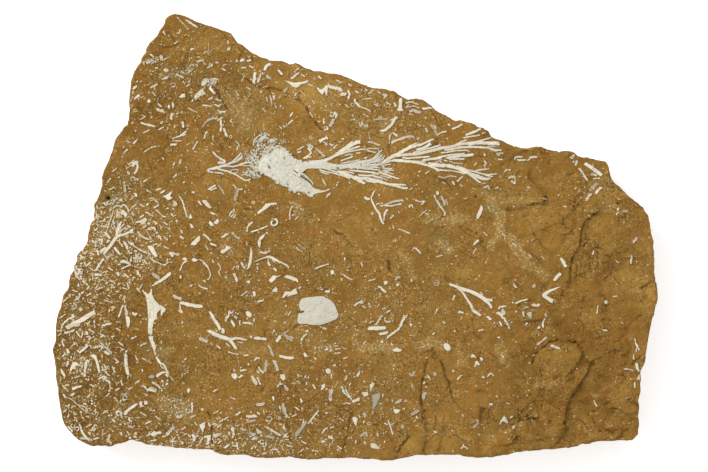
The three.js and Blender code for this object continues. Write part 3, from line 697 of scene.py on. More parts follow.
def netBands(corners, count, size, tone, dice):  # a mat of tiny bits lying across each other
    bands = []
    low, high = [[pick(c[k] for c in corners) for k in (0, 1)] for pick in (min, max)]
    while len(bands) < count:
        x, y = dice.uniform(low[0], high[0]), dice.uniform(low[1], high[1])
        if insideOutline(x, y, corners):
            reach, heading = size * dice.uniform(0.4, 1.25), dice.uniform(0, math.pi)
            dx, dy = reach * math.cos(heading), reach * math.sin(heading)
            wide, shade = size * dice.uniform(0.6, 1.3), tone + dice.uniform(-0.15, 0.3)
            skew = (dice.uniform(-1, 1), dice.uniform(-1, 1))
            bands.append(pathBand([(x - dx, y - dy), (x + dx, y + dy)], wide, shade, 0.4,
                                  grid=(3, 3), skew=skew, curved=False))
            bands[-1]["raise"] = dice.uniform(-0.05, 0.14)
    return bands


def fringeBands(points, reach, width, gap, tone, dice):  # little knobs standing out to one side of a path
    path = resample(points, max(3, round(pathLength(points) / gap)))
    along = np.gradient(path[:, :2], axis=0)
    along /= np.hypot(along[:, 0], along[:, 1])[:, None]
    bands = []
    for (x, y), (ax, ay) in zip(path[:, :2], along):
        out, drift = reach * dice.uniform(0.1, 1.0) ** 1.5, dice.gauss(0, 0.6)
        dx, dy = ay * out + ax * drift, -ax * out + ay * drift
        wide, shade = width * dice.uniform(0.6, 1.2), tone + dice.uniform(-0.1, 0.15)
        bands.append(pathBand([(x - ay * 1.2, y + ax * 1.2), (x + dx, y + dy)], wide, shade, 0.35,
                              grid=(4, 3), curved=False))
        bands[-1]["raise"] = dice.uniform(-0.02, 0.08)
    return bands


# the stain at a fossil's edge is a dark seam of stone with painted contact shade
def heightOn(band, cx, cy, deep, across, pits):  # mm above the stone, and how stained a point is
    crest = relief["proud"] * float(smoothStep(0.0, relief["edge"] * 1.2, deep))
    lump = noise.noise((cx * 0.6, cy * 0.6, 2.0)) + 0.8 * noise.noise((cx * 1.7, cy * 1.7, 6.0))
    lump = relief["lumps"] * lump
    lift = -relief["buried"] if deep < 0.02 else crest + lump + band.get("raise", 0.0)
    # the edge darkens: a dark seam with painted contact shade
    stain = band.get("rim", 1.0) * (1.0 - float(smoothStep(0.02, relief["edge"] * 0.9, deep)))
    if band.get("slit"):
        stain = 0.95
    if band.get("hollow") and deep > 0.4 and 0.3 < across < 0.7:
        lift, stain = lift - relief["sunk"], 0.4
    for px, py, radius in pits:
        hole = math.exp(-((cx - px) ** 2 + (cy - py) ** 2) / radius ** 2)
        lift -= relief["pit"] * hole
        stain = max(stain, min(1.0, 1.3 * hole))
    return lift, stain


def bandsToMesh(bands, pits=(), cover=True):
    bm = bmesh.new()
    names = ("shade", "tone", "across", "inner", "which", "spotU", "spotV")
    shade, tone, across, inner, which, spotU, spotV = (bm.verts.layers.float.new(name) for name in names)
    groups = {}
    for k, band in enumerate(bands):
        groups.setdefault((len(band["a"]) - 1, band["rows"]), []).append(k)
    for (segU, segV), members in groups.items():
        columns = len(members) * (segU + 1) - 1
        made = bmesh.ops.create_grid(bm, x_segments=columns, y_segments=segV, size=1)["verts"]
        gaps = set()
        for v in made:  # one long grid, cut between the bands
            column = round((v.co.x + 1) / 2 * columns)
            member, i = divmod(column, segU + 1)
            band = bands[members[member]]
            width = math.dist(band["a"][i], band["b"][i])
            row = round((v.co.y + 1) / 2 * segV)
            rows = band.setdefault("spread", {})
            if i not in rows:
                rows[i] = spread(segV, relief["edge"], width)
            t = rows[i][row]
            spot = band["a"][i] * (1 - t) + band["b"][i] * t
            v.co = (spot[0], spot[1], 0)
            v[inner] = min(t * width, (1 - t) * width, band["ends"][i])
            v[which], v[spotU], v[spotV] = members[member], i / segU, t
            v[tone], v[across] = band["tone"], t
            if i == segU:
                gaps |= {f for f in v.link_faces}
        cut = [f for f in gaps if len({round(v[which]) for v in f.verts}) > 1]
        if cut:
            bmesh.ops.delete(bm, geom=cut, context="FACES")
    fallen = {v for v in bm.verts if offFace(v.co.x, v.co.y)}
    lost = [f for f in bm.faces if fallen & set(f.verts)]
    if lost:
        bmesh.ops.delete(bm, geom=lost, context="FACES")
    topFaces = set(bm.faces)
    points, openEdges = growEdges(bm, [e for e in bm.edges if e.is_boundary])
    feet = set(points)
    bmesh.ops.holes_fill(bm, edges=openEdges, sides=0)
    for v in bm.verts:
        cx, cy = v.co.x, v.co.y
        lift, stain = -relief["foot"], 1.0
        if v not in feet:
            lift, stain = heightOn(bands[round(v[which])], cx, cy, v[inner], v[across], pits)
            if cover:
                row, column = (int(min(max(c, 0), size - 1)) for c, size in zip((cy, cx), chartSize))
                taken[row, column] = True
        v[shade] = stain
        v.co = (toX(cx), toY(cy), surfaceAt(toX(cx), toY(cy)) + lift * mm)
    bmesh.ops.recalc_face_normals(bm, faces=bm.faces[:])
    uv = bm.loops.layers.uv.new(bakeMap)
    side = math.ceil(math.sqrt(len(bands)))  # each band has its own square of the map
    for f in bm.faces:
        for loop in f.loops:
            v = loop.vert
            column, row = round(v[which]) % side, round(v[which]) // side
            u, w = (0.05 + 0.9 * v[spotU], 0.05 + 0.9 * v[spotV]) if f in topFaces else (0.02, 0.02)
            loop[uv].uv = ((column + u) / side, (row + w) / side)
    return bm


def finishPiece(name, bm, material, nodes=(), sharp=44):
    mesh = bpy.data.meshes.new(name)
    for f in bm.faces:
        f.smooth = True
    bm.to_mesh(mesh)
    bm.free()
    mesh.set_sharp_from_angle(angle=math.radians(sharp))
    piece = bpy.data.objects.new(name, mesh)
    bpy.context.collection.objects.link(piece)
    mesh.materials.append(material)
    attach(piece, "root")
    if nodes:
        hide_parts(*nodes)


# The fossils are written as words, one for each, with places on the chart. A path is x,y or x,y,width
# joined by >, then a colon and the width of the whole. A first mark changes what a word draws:
#   =a|b  a sheet between the edges a and b       #  a closed patch with these corners
#   o     a ring, then its radius and width       n  a mat inside these corners, then count and size
#   ~     knobs along a path, then their reach, width and gap
# A letter before that gives the tone. A word may be broken over lines after > or |.

# letters and how dull the fossil is; below zero it is blue grey
tones = {"g": 0.46, "p": 0.26, "f": 0.38, "u": -0.85, "w": 0.0, "i": 0.0, "d": 0.6}
beds = {"i": 0.09, "d": 0.06}  # fibres and slits lie a little above the fossil that carries them


def joinLines(text):
    for mark in (">", "|"):
        text = mark.join(part.strip() for part in text.split(mark))
    return text


def ringBand(cx, cy, radius, width, tone, dice):  # an uneven, slightly squashed ring, often broken open
    start, flat, lean = dice.uniform(0, 6.28), dice.uniform(0.65, 1.0), dice.uniform(0, 3.14)
    circle = []
    for a in range(9):
        du, dv = radius * math.cos(start + a * 0.72), radius * flat * math.sin(start + a * 0.72)
        circle.append((cx + du * math.cos(lean) - dv * math.sin(lean),
                       cy + du * math.sin(lean) + dv * math.cos(lean), width * dice.uniform(0.6, 1.5)))
    return pathBand(circle, None, tone, grid=(14, 4))


def crumbBand(cx, cy, size, tone, dice):
    sides, turn = dice.choice((4, 5, 6)), dice.uniform(0, 6.28)
    ring = [turn + (a + dice.uniform(-0.3, 0.3)) * 2 * math.pi / sides for a in range(sides)]
    reach = [size * dice.uniform(0.4, 0.75) for a in ring]
    corners = [(cx + r * math.cos(a), cy + r * math.sin(a)) for a, r in zip(ring, reach)]
    return patchBand(corners, tone, 0.1, grid=(4, 4))


def twigBand(pts, width, tone, dice, fine):
    skew = (dice.uniform(-0.9, 0.9), dice.uniform(-0.9, 0.9))
    if fine:
        return pathBand(pts, width, tone, 0.14, skew=skew)
    widest = max([p[2] for p in pts if len(p) > 2] + [width or 0])
    grid = (min(24, max(5, 2 * round(pathLength(pts) / 2.1) + 1)), 4 if widest < 2 else 6)
    band = pathBand(pts, width, tone, 0.34, grid=grid, skew=skew, curved=len(pts) > 3)
    band["hollow"] = widest >= 1.8 and dice.random() < relief["hollow"]
    return band


def readBands(text, dice, fine=False):
    bands = []
    for word in joinLines(text).split():
        tone, bed, first = dice.random() ** 3 * (0.2 if fine else 0.5), dice.uniform(-0.04, 0.04), ""
        if not fine and dice.random() < relief["bluish"]:
            tone = -dice.uniform(0.04, 0.2)
        if word[0] in tones:
            first, word = word[0], word[1:]
            tone, bed = tones[first], beds.get(first, bed)
        kind, body = (word[0], word[1:]) if word[0] in "o=#n~" else (">", word)
        body, *extra = body.split(":")
        extra = [float(e) for e in extra]
        edges = [[tuple(map(float, p.split(","))) for p in edge.split(">")] for edge in body.split("|")]
        pts = edges[0]
        if kind == "=":
            made = [sheetBand(*edges, tone)]
        elif kind == "n":
            made = netBands(pts, int(extra[0]), extra[1], tone, dice)
        elif kind == "~":
            made = fringeBands(pts, *extra, tone, dice)
        elif kind == "#":
            made = [patchBand(pts, tone, 0.25 if fine else 0.5, grid=None if fine else (10, 6))]
        elif kind == "o":
            made = [ringBand(*pts[0], *extra, tone, dice)]
        elif len(pts) == 1:
            made = [crumbBand(*pts[0][:2], extra[0] if extra else 1.2, tone, dice)]
        else:
            made = [twigBand(pts, extra[0] if extra else None, tone, dice, fine)]
        for band in made:
            band.setdefault("raise", bed)
            band["slit"] = first == "d"
        bands += made
    return bands


# named fossils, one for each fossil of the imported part
namedFossils = {
    # the branching colony
    "colony_core": """
~258,168>258.6,164.6>259.6,161.6>261,158.6>262.4,156.3>265.2,154.4>268.8,154>271.4,153>272.4,151>
274.4,149.6>277.2,148.8>280.7,148.2>284.2,149.4>287,151.6>289.1,153.8>291.9,156.6>
294.7,158.2:1.7:3.4:3.2
~297,191.4>292.6,190.8>290.5,188.8>289.1,186.4>284.2,185.4>280.7,182.4>277.2,181.3>272.3,178.9>
268.1,176.2>262.4,172.6>259.6,170.6>258,168:1.6:3.2:3.4
=258,168>258.6,164.6>259.6,161.6>261,158.6>262.4,156.3>265.2,154.4>268.8,154>271.4,153>272.4,151>
274.4,149.6>277.2,148.8>280.7,148.2>284.2,149.4>287,151.6>289.1,153.8>291.9,156.6>294.7,158.2>
297.5,160.6>301,161.4>306,161.6|258.4,168.6>259.6,170.6>262.4,172.6>265.2,174.2>268.1,176.2>
270.9,177.2>272.3,178.9>274.4,180.6>277.2,181.3>280.7,182.4>284.2,185.4>287,185>289.1,186.4>
290.5,188.8>292.6,190.8>297,191.4>301.5,190>301,184>300,178>303,172.5>306.4,169.2
~301,190>297,191.2>292.6,190.6>290.5,188.6>289,186.2>287,185>284.2,185.2>280.7,182.2>277.2,181.1>
274.4,180.4>272.3,178.7>270.9,177>268.1,176>265.2,174>262.4,172.4>259.6,170.4>258.4,168.4:3:2.3:1.9
~258.2,168>258.8,164.8>259.8,161.8>261.2,158.8>262.6,156.5>265.2,154.7>268.8,154.3>271.4,153.2>
272.4,151.2>274.4,149.9>277.2,149.1>280.7,148.5>284.2,149.7>287,151.9>289.1,154>291.9,156.8>
294.7,158.4>297.5,160.8>301,161.6:2.2:2:1.8
i283,166>297,163>306,164.5:0.7 i284,170>296,168>306,167:0.8 i285,174>296,180>306,187>312,192:0.8
i290,176>302,184>312,189:0.7 i281,176>290,184>299,190>306,194:0.8 i288,171>300,179>309,185:0.7
i262,160>268,164>276,166:0.8 i274,152>279,158>282,164:0.8 i284,151>285,158>287,163:0.7
i266,170>274,174>282,182:0.8 i292,158>296,162>303,163.6:0.7 d286.6,166>290,165.2>293.4,163.2:0.35
d293,170.2>295.4,171.4>298.6,174:1.4 d300,174.6>304.5,177.8>311,182.4:1.2
d300,172>303,172.6>306.4,171.4:0.9 d297.4,175.6>301.6,179>306.6,182.4:0.6 d292,172.6>296.6,176.4:0.5""",
    "colony_base_stem": "206.9,170.6,1.8>208.6,169.9,2.5>212.6,168.6,2.5>217.5,167.7,3.2>220,167.6,3.4",
    "colony_base_middle_arm": """
219,167.2,2.2>223.2,166.3,1.9>228.1,166.2,1.7>233,166.6,1.7>237.9,165.5,1.7>242.1,163.9,1.7>
245.6,163.1,1.5>249.1,162.4,1.4>252.6,163.4,1.3 240,165.2>243,165.4>247,166>252.6,164.6:1.1""",
    "colony_base_upper_arm": """
219,166.6,2.4>223.2,165.7,2.4>228.1,164.3,2.2>230.9,162.9,2>233.7,160.8,1.5>236.5,157.8,1.4>
241.4,152.6,1 232,163.2,1.5>237.2,161,1.7>240.8,158.4,1.8>242.6,155.4,1.6 g236.6,160.4>241,156.4:1.2""",
    "colony_base_lower_arm": """
217.5,168.9,2>223.2,170.2,1.9>228.1,171.5,1.7>231.6,172.9,1.7>236.5,174.9,1.7>240.7,177.7,1.7>
244.9,180.2,1.7>249.1,180,1.6>250.6,178.4,1.2 230,171.3>233,169.7>236,169.6>239,170.6:1
g234.5,173>238.5,172.4:1.1 g241,175.4>245.5,174.6>249,176.4:1.4 242.5,172>246,172.8:1.2""",
    "colony_base_twig": """
207.4,171.4,1.3>212.6,172.3,1.3>213.6,172.5,1.2 214.4,172.6,1.3>219.6,173,1.3>223.9,174.1,1.2""",
    "colony_mesh_panel": """
n244,152>250,149>254,152>253,158>257,163>257,168>258,174>253,177>246,174>249,167>248,162>244,158:90:0.9
p235.4,161>238.4,156.4>242.4,153.4:1 p236.6,161.4>240.8,158.4>243,154.6:1
n250,158>257,155>262,157>259,162>258,168>252,166:60:0.9 n242,170>250,170>258,173>262,178>256,180>
249,176:50:0.9 n247,169>257,167>262,176>262,179>258,177>252,175:26:1.05
n252,154>258,156>259,164>254,163:18:1 250,156>252.4,158.6>254.8,160.4:1.5
247.4,157>248.6,160.6>250.4,163.4:1.3 254,153>256,156.4>259,158:1.4
251,165.6>254,167.4>257.4,168:1.4 253,170.4>256.2,171.6:1.3 254.6,163>257.6,163.6:1.3
255.6,165>256.6,169:1.1 249.4,170.4>252,172.4>253.4,175:1.3 246.4,171>248.4,173.4:1.1
255.6,173.6>258.4,175:1.1 252.4,160>251.6,163:1 g247,168>250,169.4:1.4 g253.6,176.4>256.4,175.6:1.2
o256,160.6:1.5:0.8 o252.2,173.4:1.4:0.8 g259,160.5>257,163>258,166:1.3 245.4,160.6>247,163.4:1""",
    "colony_upper_tuft": """
p#258,139.6>261,136.6>264.6,134.8>267.6,135>266,138>263,140.4>259.6,141.8
p#269,139.8>272.6,138.8>276,139.6>275,142>271,143.4 n254,141>256,138>260,134.2>266,132.6>269,134.6>
268.4,138>265,141>261,143>257,145>254,144:70:1.1 n268,139.4>272,138.2>277,138>277.6,141>275,144>
270,145>267.4,143:38:1.05 n256,146>262,143.4>268,144.4>276,145>277,147>271,149>268,151.6>264,148.6>
259,149:48:1.05 n261,150>268,147>276,145.6>284,146.6>287,150>280,148.8>273,151.4>266,154.6>
259,156:110:0.95 n252.6,148>256,147>259,150>257,154>254,156>251,154:34:0.95
262,152>265.6,151.4>268.6,150.2:1.6 269,149.4>272.6,147.6>276.4,147.4:1.7
276,146>280,146.4>283,148:1.5 n279.4,140>282,138.6>286,140>286.4,142.6>283,144.6>280.6,143:18:0.85
253.8,146>254.2,140.6>257,137.4>261,134.6:1 257,144>258.6,147.4:1.6 262.4,147>265.2,144.4:1.3
264,149.6>267.4,147.4>270.4,146.2:1.4 g266.6,151>269.6,149.6:1.4 o262.4,145.6:1.4:0.7
o271,141.2:1.6:0.8""",
    "colony_lower_lobe": """
=300,176.4>303.4,178.4>306.9,180.6>309.4,182.6>311.6,185.2>313.6,187.2>317.4,189>321.7,190>325.4,190>
328.2,188.6>329.8,188.2|297,190.8>300.6,192.2>303.6,192.2>305.7,193.4>307.4,195.8>310.6,197.4>
313.2,196.9>314,194.6>319.6,193.4>324.5,192.3>328.4,190.8>330.4,189.4
298.8,172.2,1.3>304,174.6,1.4>309.6,179.6,1.3>313.8,184.4,1.2
300,181.4,1>306.2,184.4,1>312.4,186.6,0.9 299.4,173.8>305.4,177.8>311,182.6:0.9""",
    "colony_main_stem": """
=300,162>306,161>312,160.2>319,161>326,161.4>332,163.2>341,164.2>350,163.2>358,161.4>364,161>370,161.8|
302,172>306,169.4>312,168.8>319,169>326,169>332,169.8>339,170>345,168.8>352,168.4>360,167.4>
369,166.4
362,161.6,2>370,160.2,2.2>378,156.8,1.6 362,163.4,2>371,162.4,2.2>379,160.4,1.6
361,165.2,2>371,164.8,2.2>382,164.4,1.5 362,166.8,1.8>372,167,2>380,167.6,1.5
360,168,1.6>372,169,1.8>381,170.4,1.3 368,163.4,1.6>376,161.4,1.8>383,158,1.2
d352,163.8>358,163.4>364,162.8>371,161.4:0.55 d359,166.4>366,166.2>374,165.8:0.6
d364,164.6>371,163.6>377,162.2:0.5 d362,169.8>370,170>377,171:0.5 d337,164.4>342,165>348,165.2:0.35
340.6,163.6,1.1>347.6,162.5,1.2>354.6,161,1.2>360.3,159.8,1 349.7,164.2,2>358.1,162.3,2.4>
363.8,161.5,2.8>369.4,160.8,3>374.3,158.8,3>377.8,156.2,2.2>380.4,152.8,1.4
350,167.9,2.4>358.1,167.4,2>365.2,168.8,2>372.2,169.4,1.8>377,170.4,1.4
369.6,161.2>374,158>379.4,152>382.6,149.8:1.2 371.6,163.2>377,160>382.6,154.4:1.3
373.6,164.4>379.4,160.6>385.4,155.6:1.1 377.6,163.8>381,160.6>384.4,158.4:1.1
372,166>377,165.4>381,163.4:1.5 381.4,165.6>386,165>391.4,164.4:1.1
382.6,168>387,168.6>392.4,168.8:1.2 381.6,166.6>385,166.9:1 379,172.2>384,171>389.4,171.6:1.2
383.4,170.4>388.6,170>394,170.6:1 385.4,162.2>389,162.4:1 375.6,168>379.4,167:1.3
o358.4,167.2:1.7:0.8 386.6,160.2>389.4,157.6:1 g379.6,163.6>382.4,162:1.2 374,162>378.6,157:0.9""",
    "colony_first_frond_upper": """
312,162.6,3>319.6,161.4,3.2>325.2,160.3,3.4>330.1,158.3,3>334.3,156,3>338.5,153.3,3.4>342.7,150.1,3.6>
346.9,146.8,3.2>351.1,143.2,2.4>353.2,141.2,1.8 341.6,152,2>343.4,150.8,2.4>348.3,147.5,3>
353.2,144.3,3.4>356.7,142.3,3.6>360.6,141.9,3.2 358.6,140.7>361,140.2:1 336,156,1.4>338.5,154.9,1.7>
344.1,152.6,1.9>349.7,149.8,1.9>355.3,147.7,1.9>360.4,146.2,1.5""",
    "colony_first_frond_strand": """
342,153.8,1.1>346.9,152.4,1.3>353.2,150.9,1.4>358.1,149.9,1.3>362.3,149.3,1.3>366.6,149.7,1.2
366.4,149.4>369,148.6>372.2,148.5>378.8,148.5:1 366.6,150>371.5,151.8>376.4,152.5:1.2
p378.9,148.6>378.6,151.4:0.8 340.6,161>345.5,159.2>349.7,157.8>353.2,156.2:1.3
344.8,155.7>351.8,153.9:1.1 p356,153.2>360.9,153:1.7 364.1,158.4>367.6,157.3:1.3
351,155.2>353,154.2:1""",
    "colony_first_frond_lower": """
337,171.4,2>339.9,172.2,3>345.5,174.2,3.4>351.1,176.3,3.4>355.3,178.3,3.4>359.5,180.5,3.6>
363.1,182.4,3.6>365,182,3 318.9,169.4,1.4>326.6,171.9,1.5>334.3,173.3,1.6>339.9,174.9,1.6>
345.5,176.5,1.6>350.2,178.6,1.5 320.3,171.5>325.2,173.6>329.4,174.6:1.4 355,176.4,2>359.6,178,2.6>
366,178.6,3.8>371,179.4,3.6>376,180.8,3.4>382.4,182.4,3>389.7,184.6,2.4>396.7,186.2,2.2>
402,187.8,2.3>408,188.4,2.2 386.2,183.5,1.5>393.2,184.3,1.7>400.2,184.6,1.8>406.4,185.2,1.8
365.4,180.6>371,181.8>377,182.6:1.4 p374,177.6>379,179.2>383,181:0.9""",
    "colony_first_frond_inner": """
323.1,168,1.6>331.5,170.5,1.8>337.1,172,2>344.1,171.5,1.8>351.1,172.7,1.7>354.6,173.6,1.4
349,170.4,1.2>354.6,170.7,1.7>362.3,171.4,1.8>370.8,172.2,1.8>375,172.9,1.7>379.2,174.8,1.4
358.1,174.9,1.5>367.3,175.7,1.8>372.2,175.7,1.9>377.8,177,1.7>382.7,178.4,1.4
377.8,172.2,1.4>383.4,173.6,1.8>389,175.6,1.9>394.6,177.6,1.7>399.5,178.9,1.3
380,175.8>385,176.6>389.6,178.4:1 384,172>389,173>393.6,174.4:1.1 372,174>376.6,174.6:1.1
343.4,173>349,174.6:1.2 388,176.6>392,178.6:0.9 379.6,177.2>384.6,179.2>388,180.8:0.9""",
    "colony_second_frond_stem": """
380.6,163.6,1.4>383.6,161.6,2>386.2,160.2,2.8>390,157.9,3.4>393.8,155.9,3.6>397.6,154.2,3.6
384.6,163.6,1>388.6,161.6,1.6>392.4,160.4,2>398.8,160.2,2.4>405,161,2.4
381,164.6>385.4,162.8>389,161.6:1""",
    "colony_second_frond_upper": """
395,155.8,3>399.2,153.5,3.4>404.1,150.2,3.4>409,148,3.2>414.6,146.1,2.8>421.7,144.4,2.3>426.6,142.3,2>
430.8,140.2,1.9>434.3,139.1,1.7 408.4,146.6>413,144.6>417.4,142.8:1.2 416,150,2.2>423.1,147.9,2.4>
428,145.4,2.6>430.6,143,2.4 429,141.4>431.4,145.4:1.1 g417.6,142>419.2,144.4:1.3""",
    "colony_second_frond_crest": """
397,156.4,2>402,155.1,2.6>411.8,154.4,3>418.2,153.8,3.2>424.5,152.4,3.2>430.1,151,3.3>435.7,149.7,3.3>
440.6,148.2,3.3>446.9,147.4,3.1>453.2,146.3,2.9>459.5,144.6,2.8>465.2,143.7,2.8>472.2,142.6,2.5>
479.2,141.2,1.9>485.5,139.4,1.6>492.6,137.4,1.2 412.5,152.6,1.4>418.9,151.3,1.6>424.5,149.4,1.6>
430.1,148,1.6>435.7,146.6,1.7>441,144.5,1.4 454.6,145.2,1.4>459.5,142.9,1.6>463.8,140.9,1.5>
467.3,139.7,1.2 468,144.6,2.4>473,143.6,3>480,142.9,3.2>487,143.2,3.6>493.2,143.5,4>499.8,143.5,4.2
458,147.2,2>465.2,147.2,2.2>472.2,146.9,2.3>479.2,147.2,2.3>486.2,147.7,2>491.1,148.5,1.7>
496,150,1.6>502,150.4,1.5 444.1,150.2,1.6>451.1,149.4,1.8>458.1,148,1.8>466,146.8,1.8
p487,146.7>492,146.3>496.7,146.8:1 g489,148.6>493.2,151>498,151:1.2""",
    "colony_second_frond_centre": """
402,157.4,1.6>407.6,158.3,1.7>413.2,157.8,1.8>421.7,157.2,1.8>430,156.6,1.6
434,158.6,2>440.6,157,2>447.6,155.4,1.8>454.6,154.6,1.7>461.6,153.9,1.6>465.2,153.6,1.5
440.6,152.9,1.2>447.6,152.2,1.5>454.6,150.9,1.5>461.6,150.4,1.4>465.9,150.3,1.3>470.4,151.9,1.1
446,158.2,2>448.3,157.8,2.2>454.6,156.7,2.4>461.6,155.9,2.6>468.7,155.2,2.7>474,154.6,2.8
448.6,159.3>456.7,158.9>464.8,159.1:1.6 421.7,160.5,2>428.7,159.4,2.4>435.7,158.5,2.6>
442.7,157.3,2.4 p452,163>458,163.4>463.6,163.8:1 p449,161.4>453,161.8:1.1 o437.6,160.4:1.6:0.8
o441.4,160.8:1.5:0.8 g434,162.4>438,162.8:1.1 443.6,160>447.6,161.2:1.2""",
    "colony_second_frond_keel": """
392,160.4,2.4>395,160.5,3>402,160.8,3>409,161.4,2.9>416,162.3,2.8>423.1,164.1,2.6>428.7,165.7,2.4>
433.6,167.7,2.3>438.4,170,2.2 409,161.4>418,161.4>426,162.4:1.3 428,163.4,2>432.2,164.2,3>
437.1,165.2,3.8>444.1,165.6,4.2>449.7,166,3.8>455.3,167.6,3.6>461.6,169.8,3.8>466.6,172,4>
470.8,174.6,3.4>475,178,2.6>477.8,180.9,2>481.3,182.8,1.5 432.2,167,1.6>438.5,169.6,1.9>
444.1,170.4,1.6>451.1,170.8,1.4>456.7,171.6,1.5>460.9,172.4,1.8>465.2,174,1.6 466,172.6,3>
470.4,173.6,3.2>475.6,175.6,3.6>480,177.4,3.8>484.4,178.8,3.2>488,178.8,2.4>491,178.1,1.6
456.4,165.4>461.4,167.6>466,169.2:1.8 p481.6,183.2>486.2,183.4:0.9 436,170.6>440,171.2:1.1""",
    "colony_second_frond_tip": """
463,169,1.6>465.9,169.7,1.8>472.2,171,1.9>477.8,172.5,1.9>482.7,173.9,1.8>487.6,174.6,1.6>
493.2,174.3,1.5>497.3,173.6,1.3 484.8,175>489,175.9>493.2,176.7:1.4
475.4,171.2>478,170.2>481.3,169.7>487.6,169:1.4""",
    # the fan and its stalk
    "fan_blade": """
=143.2,291.4>144.8,294.6>146,298.4>146.7,303>147.2,308>147.6,313>148,318>148,323>147.8,328>147.7,334|
145.6,291.6>148.6,294.8>150.2,293>151.4,290>152.4,293.8>153.8,297.6>156.2,301>159.8,305>161.8,308.4>
159,311>157.4,312.8>157.2,316>155.6,319>154,322>153,327>152.8,334.4
#158.6,304>162.6,305.8>166.2,309.4>165,312>163.2,312.8>162.2,316.6>160.4,314.6>160.6,311>161,308.4
142.6,289.8>144,292.6>145,294.4:1.1 151.3,288.8>151.5,292>151.4,296:1.3 155.4,320>157.6,317.6:1.1
153.6,324>155.8,322.4:1 i148,297>149.6,304>150,318:0.8 i150.4,298>153,306>153.4,315:0.8
i152.6,299>157,304>160.6,309:0.7 d146.2,294>147,294.8:1.1 d149.4,312>149.8,318:0.5""",
    "fan_stalk": """
=148.4,336>149.2,339.6>151,344>152.4,348>154,352|153.4,335.8>153.8,340>155.2,343.6>156.2,347>155.4,350.6
149.4,334.6>151.8,334.8:1.4 154.2,350.6>155.2,353>156,355.4:1.4 d148.4,328.6>152.6,328.2:0.5
d149.6,336.8>153,336.6:0.5""",
    "fan_tail": """
156.2,356.2,1.4>157.6,359,2.4>159.6,362.4,2.6>161,364.4,1.8 160.6,363.6>163,364.2>165.6,367.6>167,372>
166.8,375:1.8 160.8,364>161.4,366.6>164.6,369:1 169,376>171,378>173.8,381:0.9 165.4,374>168.4,377:2
168.4,371>168.8,376:0.9""",
    "fan_side_twig": "#155.4,376.6>157,373.6>161.4,371.6>165.4,371>166.4,373>162,374>158,377.6",
    # forked twigs
    "left_fork_stem": "104,255,2>105.2,251.8,2.8>110,246,3.2>113.6,241,3.4>116.4,236.8,3.6",
    "left_fork_right_arm": """
115.6,237.2,3>120,235.4,2.8>125,234.4,2.6>129.4,231.6,2.4 #128.8,233.2>129.4,229.8>131.6,228.4>
134.2,229.4>133,231.4>134,233>131,233.8 133.6,229>135.2,227.6:0.9 125,236.8>129,235.6:1""",
    "left_fork_upper_arm": """
116.2,237,2.6>117.4,231,2>119.6,225.6,1.8>121.6,221.2,1.4 117.4,232>120.4,228>124.4,223.6:1.2
117,234>121.4,230.4>126,227.4:1.1 117,231>115,227.4>113.4,224:1 118.4,228>117.6,224>117.2,220.8:0.8""",
    "lower_fork_stem": "208,330,3>214,333.8,3.8>222,337,4>229,339.4,4",
    "lower_fork_upper_arm": "227,338.8,3.6>232,339.2,3>237,338.2,2.4>247,340.2,1.8",
    "lower_fork_lower_arm": "228.6,339,3>232,342.6,3.2>234.4,346,3.4>236.2,349.4,3",
    "leaning_twig": """
210,311.2,2.4>214,319,3.2>218,325,3.4>220.4,330,3 #221,328.4>224.6,328>225,333.6>221.6,334""",
    "right_fork_stem": "449,284.2,2>455,286,2.8>462,289,3.6>467,290.6,3.8",
    "right_fork_upper_arm": """
465,290.2,3.4>470,291.2,3.6>478,295,3.8>484,299,4>488.6,303,3>492.2,308.2,2
484,299.6,3>488,299.8,3>493,300.4,2.4""",
    "right_fork_lower_arm": """
457,287.6,1.6>463,293,2>467,299,2.2>471,305,2.6>473,310,3>477,313,3>481,316,2.6""",
    "bent_twig_upper": """
#563.4,285.2>560,286.4>555,287.8>550,289.2>545.6,291.2>541.4,294.6>543.4,296.6>547,295.2>551,292>
556,289.6""",
    "bent_twig_lower": """
#541.6,295>543,297.6>547.6,300.6>551,303.2>553.4,303>552.6,301>554.6,299.6>549.6,297.4>546.6,295""",
    # single fragments
    "sheet_fragment": """
=297.6,319>298.4,313.6>300,312.6>303,313.4>303.6,310.6>300.4,309.4>299,306>300,301>303,298>308,297>
315,296.4>322,296>327,298>332,301>335,305>337,310>338.6,314|297.4,320>297.4,322>300,324.4>305,324>
311,325>320,325.2>328,323>333,321>335.4,320>337.6,317.6>338.7,315
d296.6,312>299,311.9>301.6,311.6>304.4,311.3:2.4 d322,296.4>321.6,299.4>320.4,303.6:0.8
d324.6,309>325,314>326,319.6:0.45 d332,302.6>334.4,305.4:0.4""",
    "upper_edge_twig_bar": """
465.3,135.2,2.2>470.8,133.2,2.4>475,131.6,2.4>479.4,129.4,2.2>481,129.8,1.6""",
    "right_corner_bar": "584.8,163,3>592,168,3.8>602.2,175.4,3.4",
    "steep_bar": "477,218.4,3.4>480,212.4,3.8>482.4,206,3",
    "ledge_bar_high": "561,257.6,3>563.4,262,3.6>566,267.4,3.2",
    "ledge_bar_low": "561,273,3>557.6,276.6,3.6>554,281,3",
    "long_flat_bar": "368,328.2,3.6>377,328.4,4>386.2,328,3.4",
    "short_flat_bar": "379,334.4,2.2>384,333.4,2.6>388.4,332.2,2.2",
    "lower_middle_bar": "279,356,2.4>287,357.8,3>294.2,358,2.6",
    "middle_bar": "284.8,276,3>292,278.2,3.6>298.4,281,3",
    "wavy_bar": "180,302,3>188,304.4,3.6>196,306,3.6>203,306.2,3 180,304>180.4,309>183,313:1.4",
    "rising_bar": "154.6,284.2,2.2>162,280,2.8>168,275.2,3.2>171.4,272.8,2.6",
    "upper_left_bar": "192,245.4,3.6>196.4,241.2,4.4>200.4,237.2,3.6",
    "falling_bar": "p203.4,200,3.6>207,204,3.8>211,208.4,2.8",
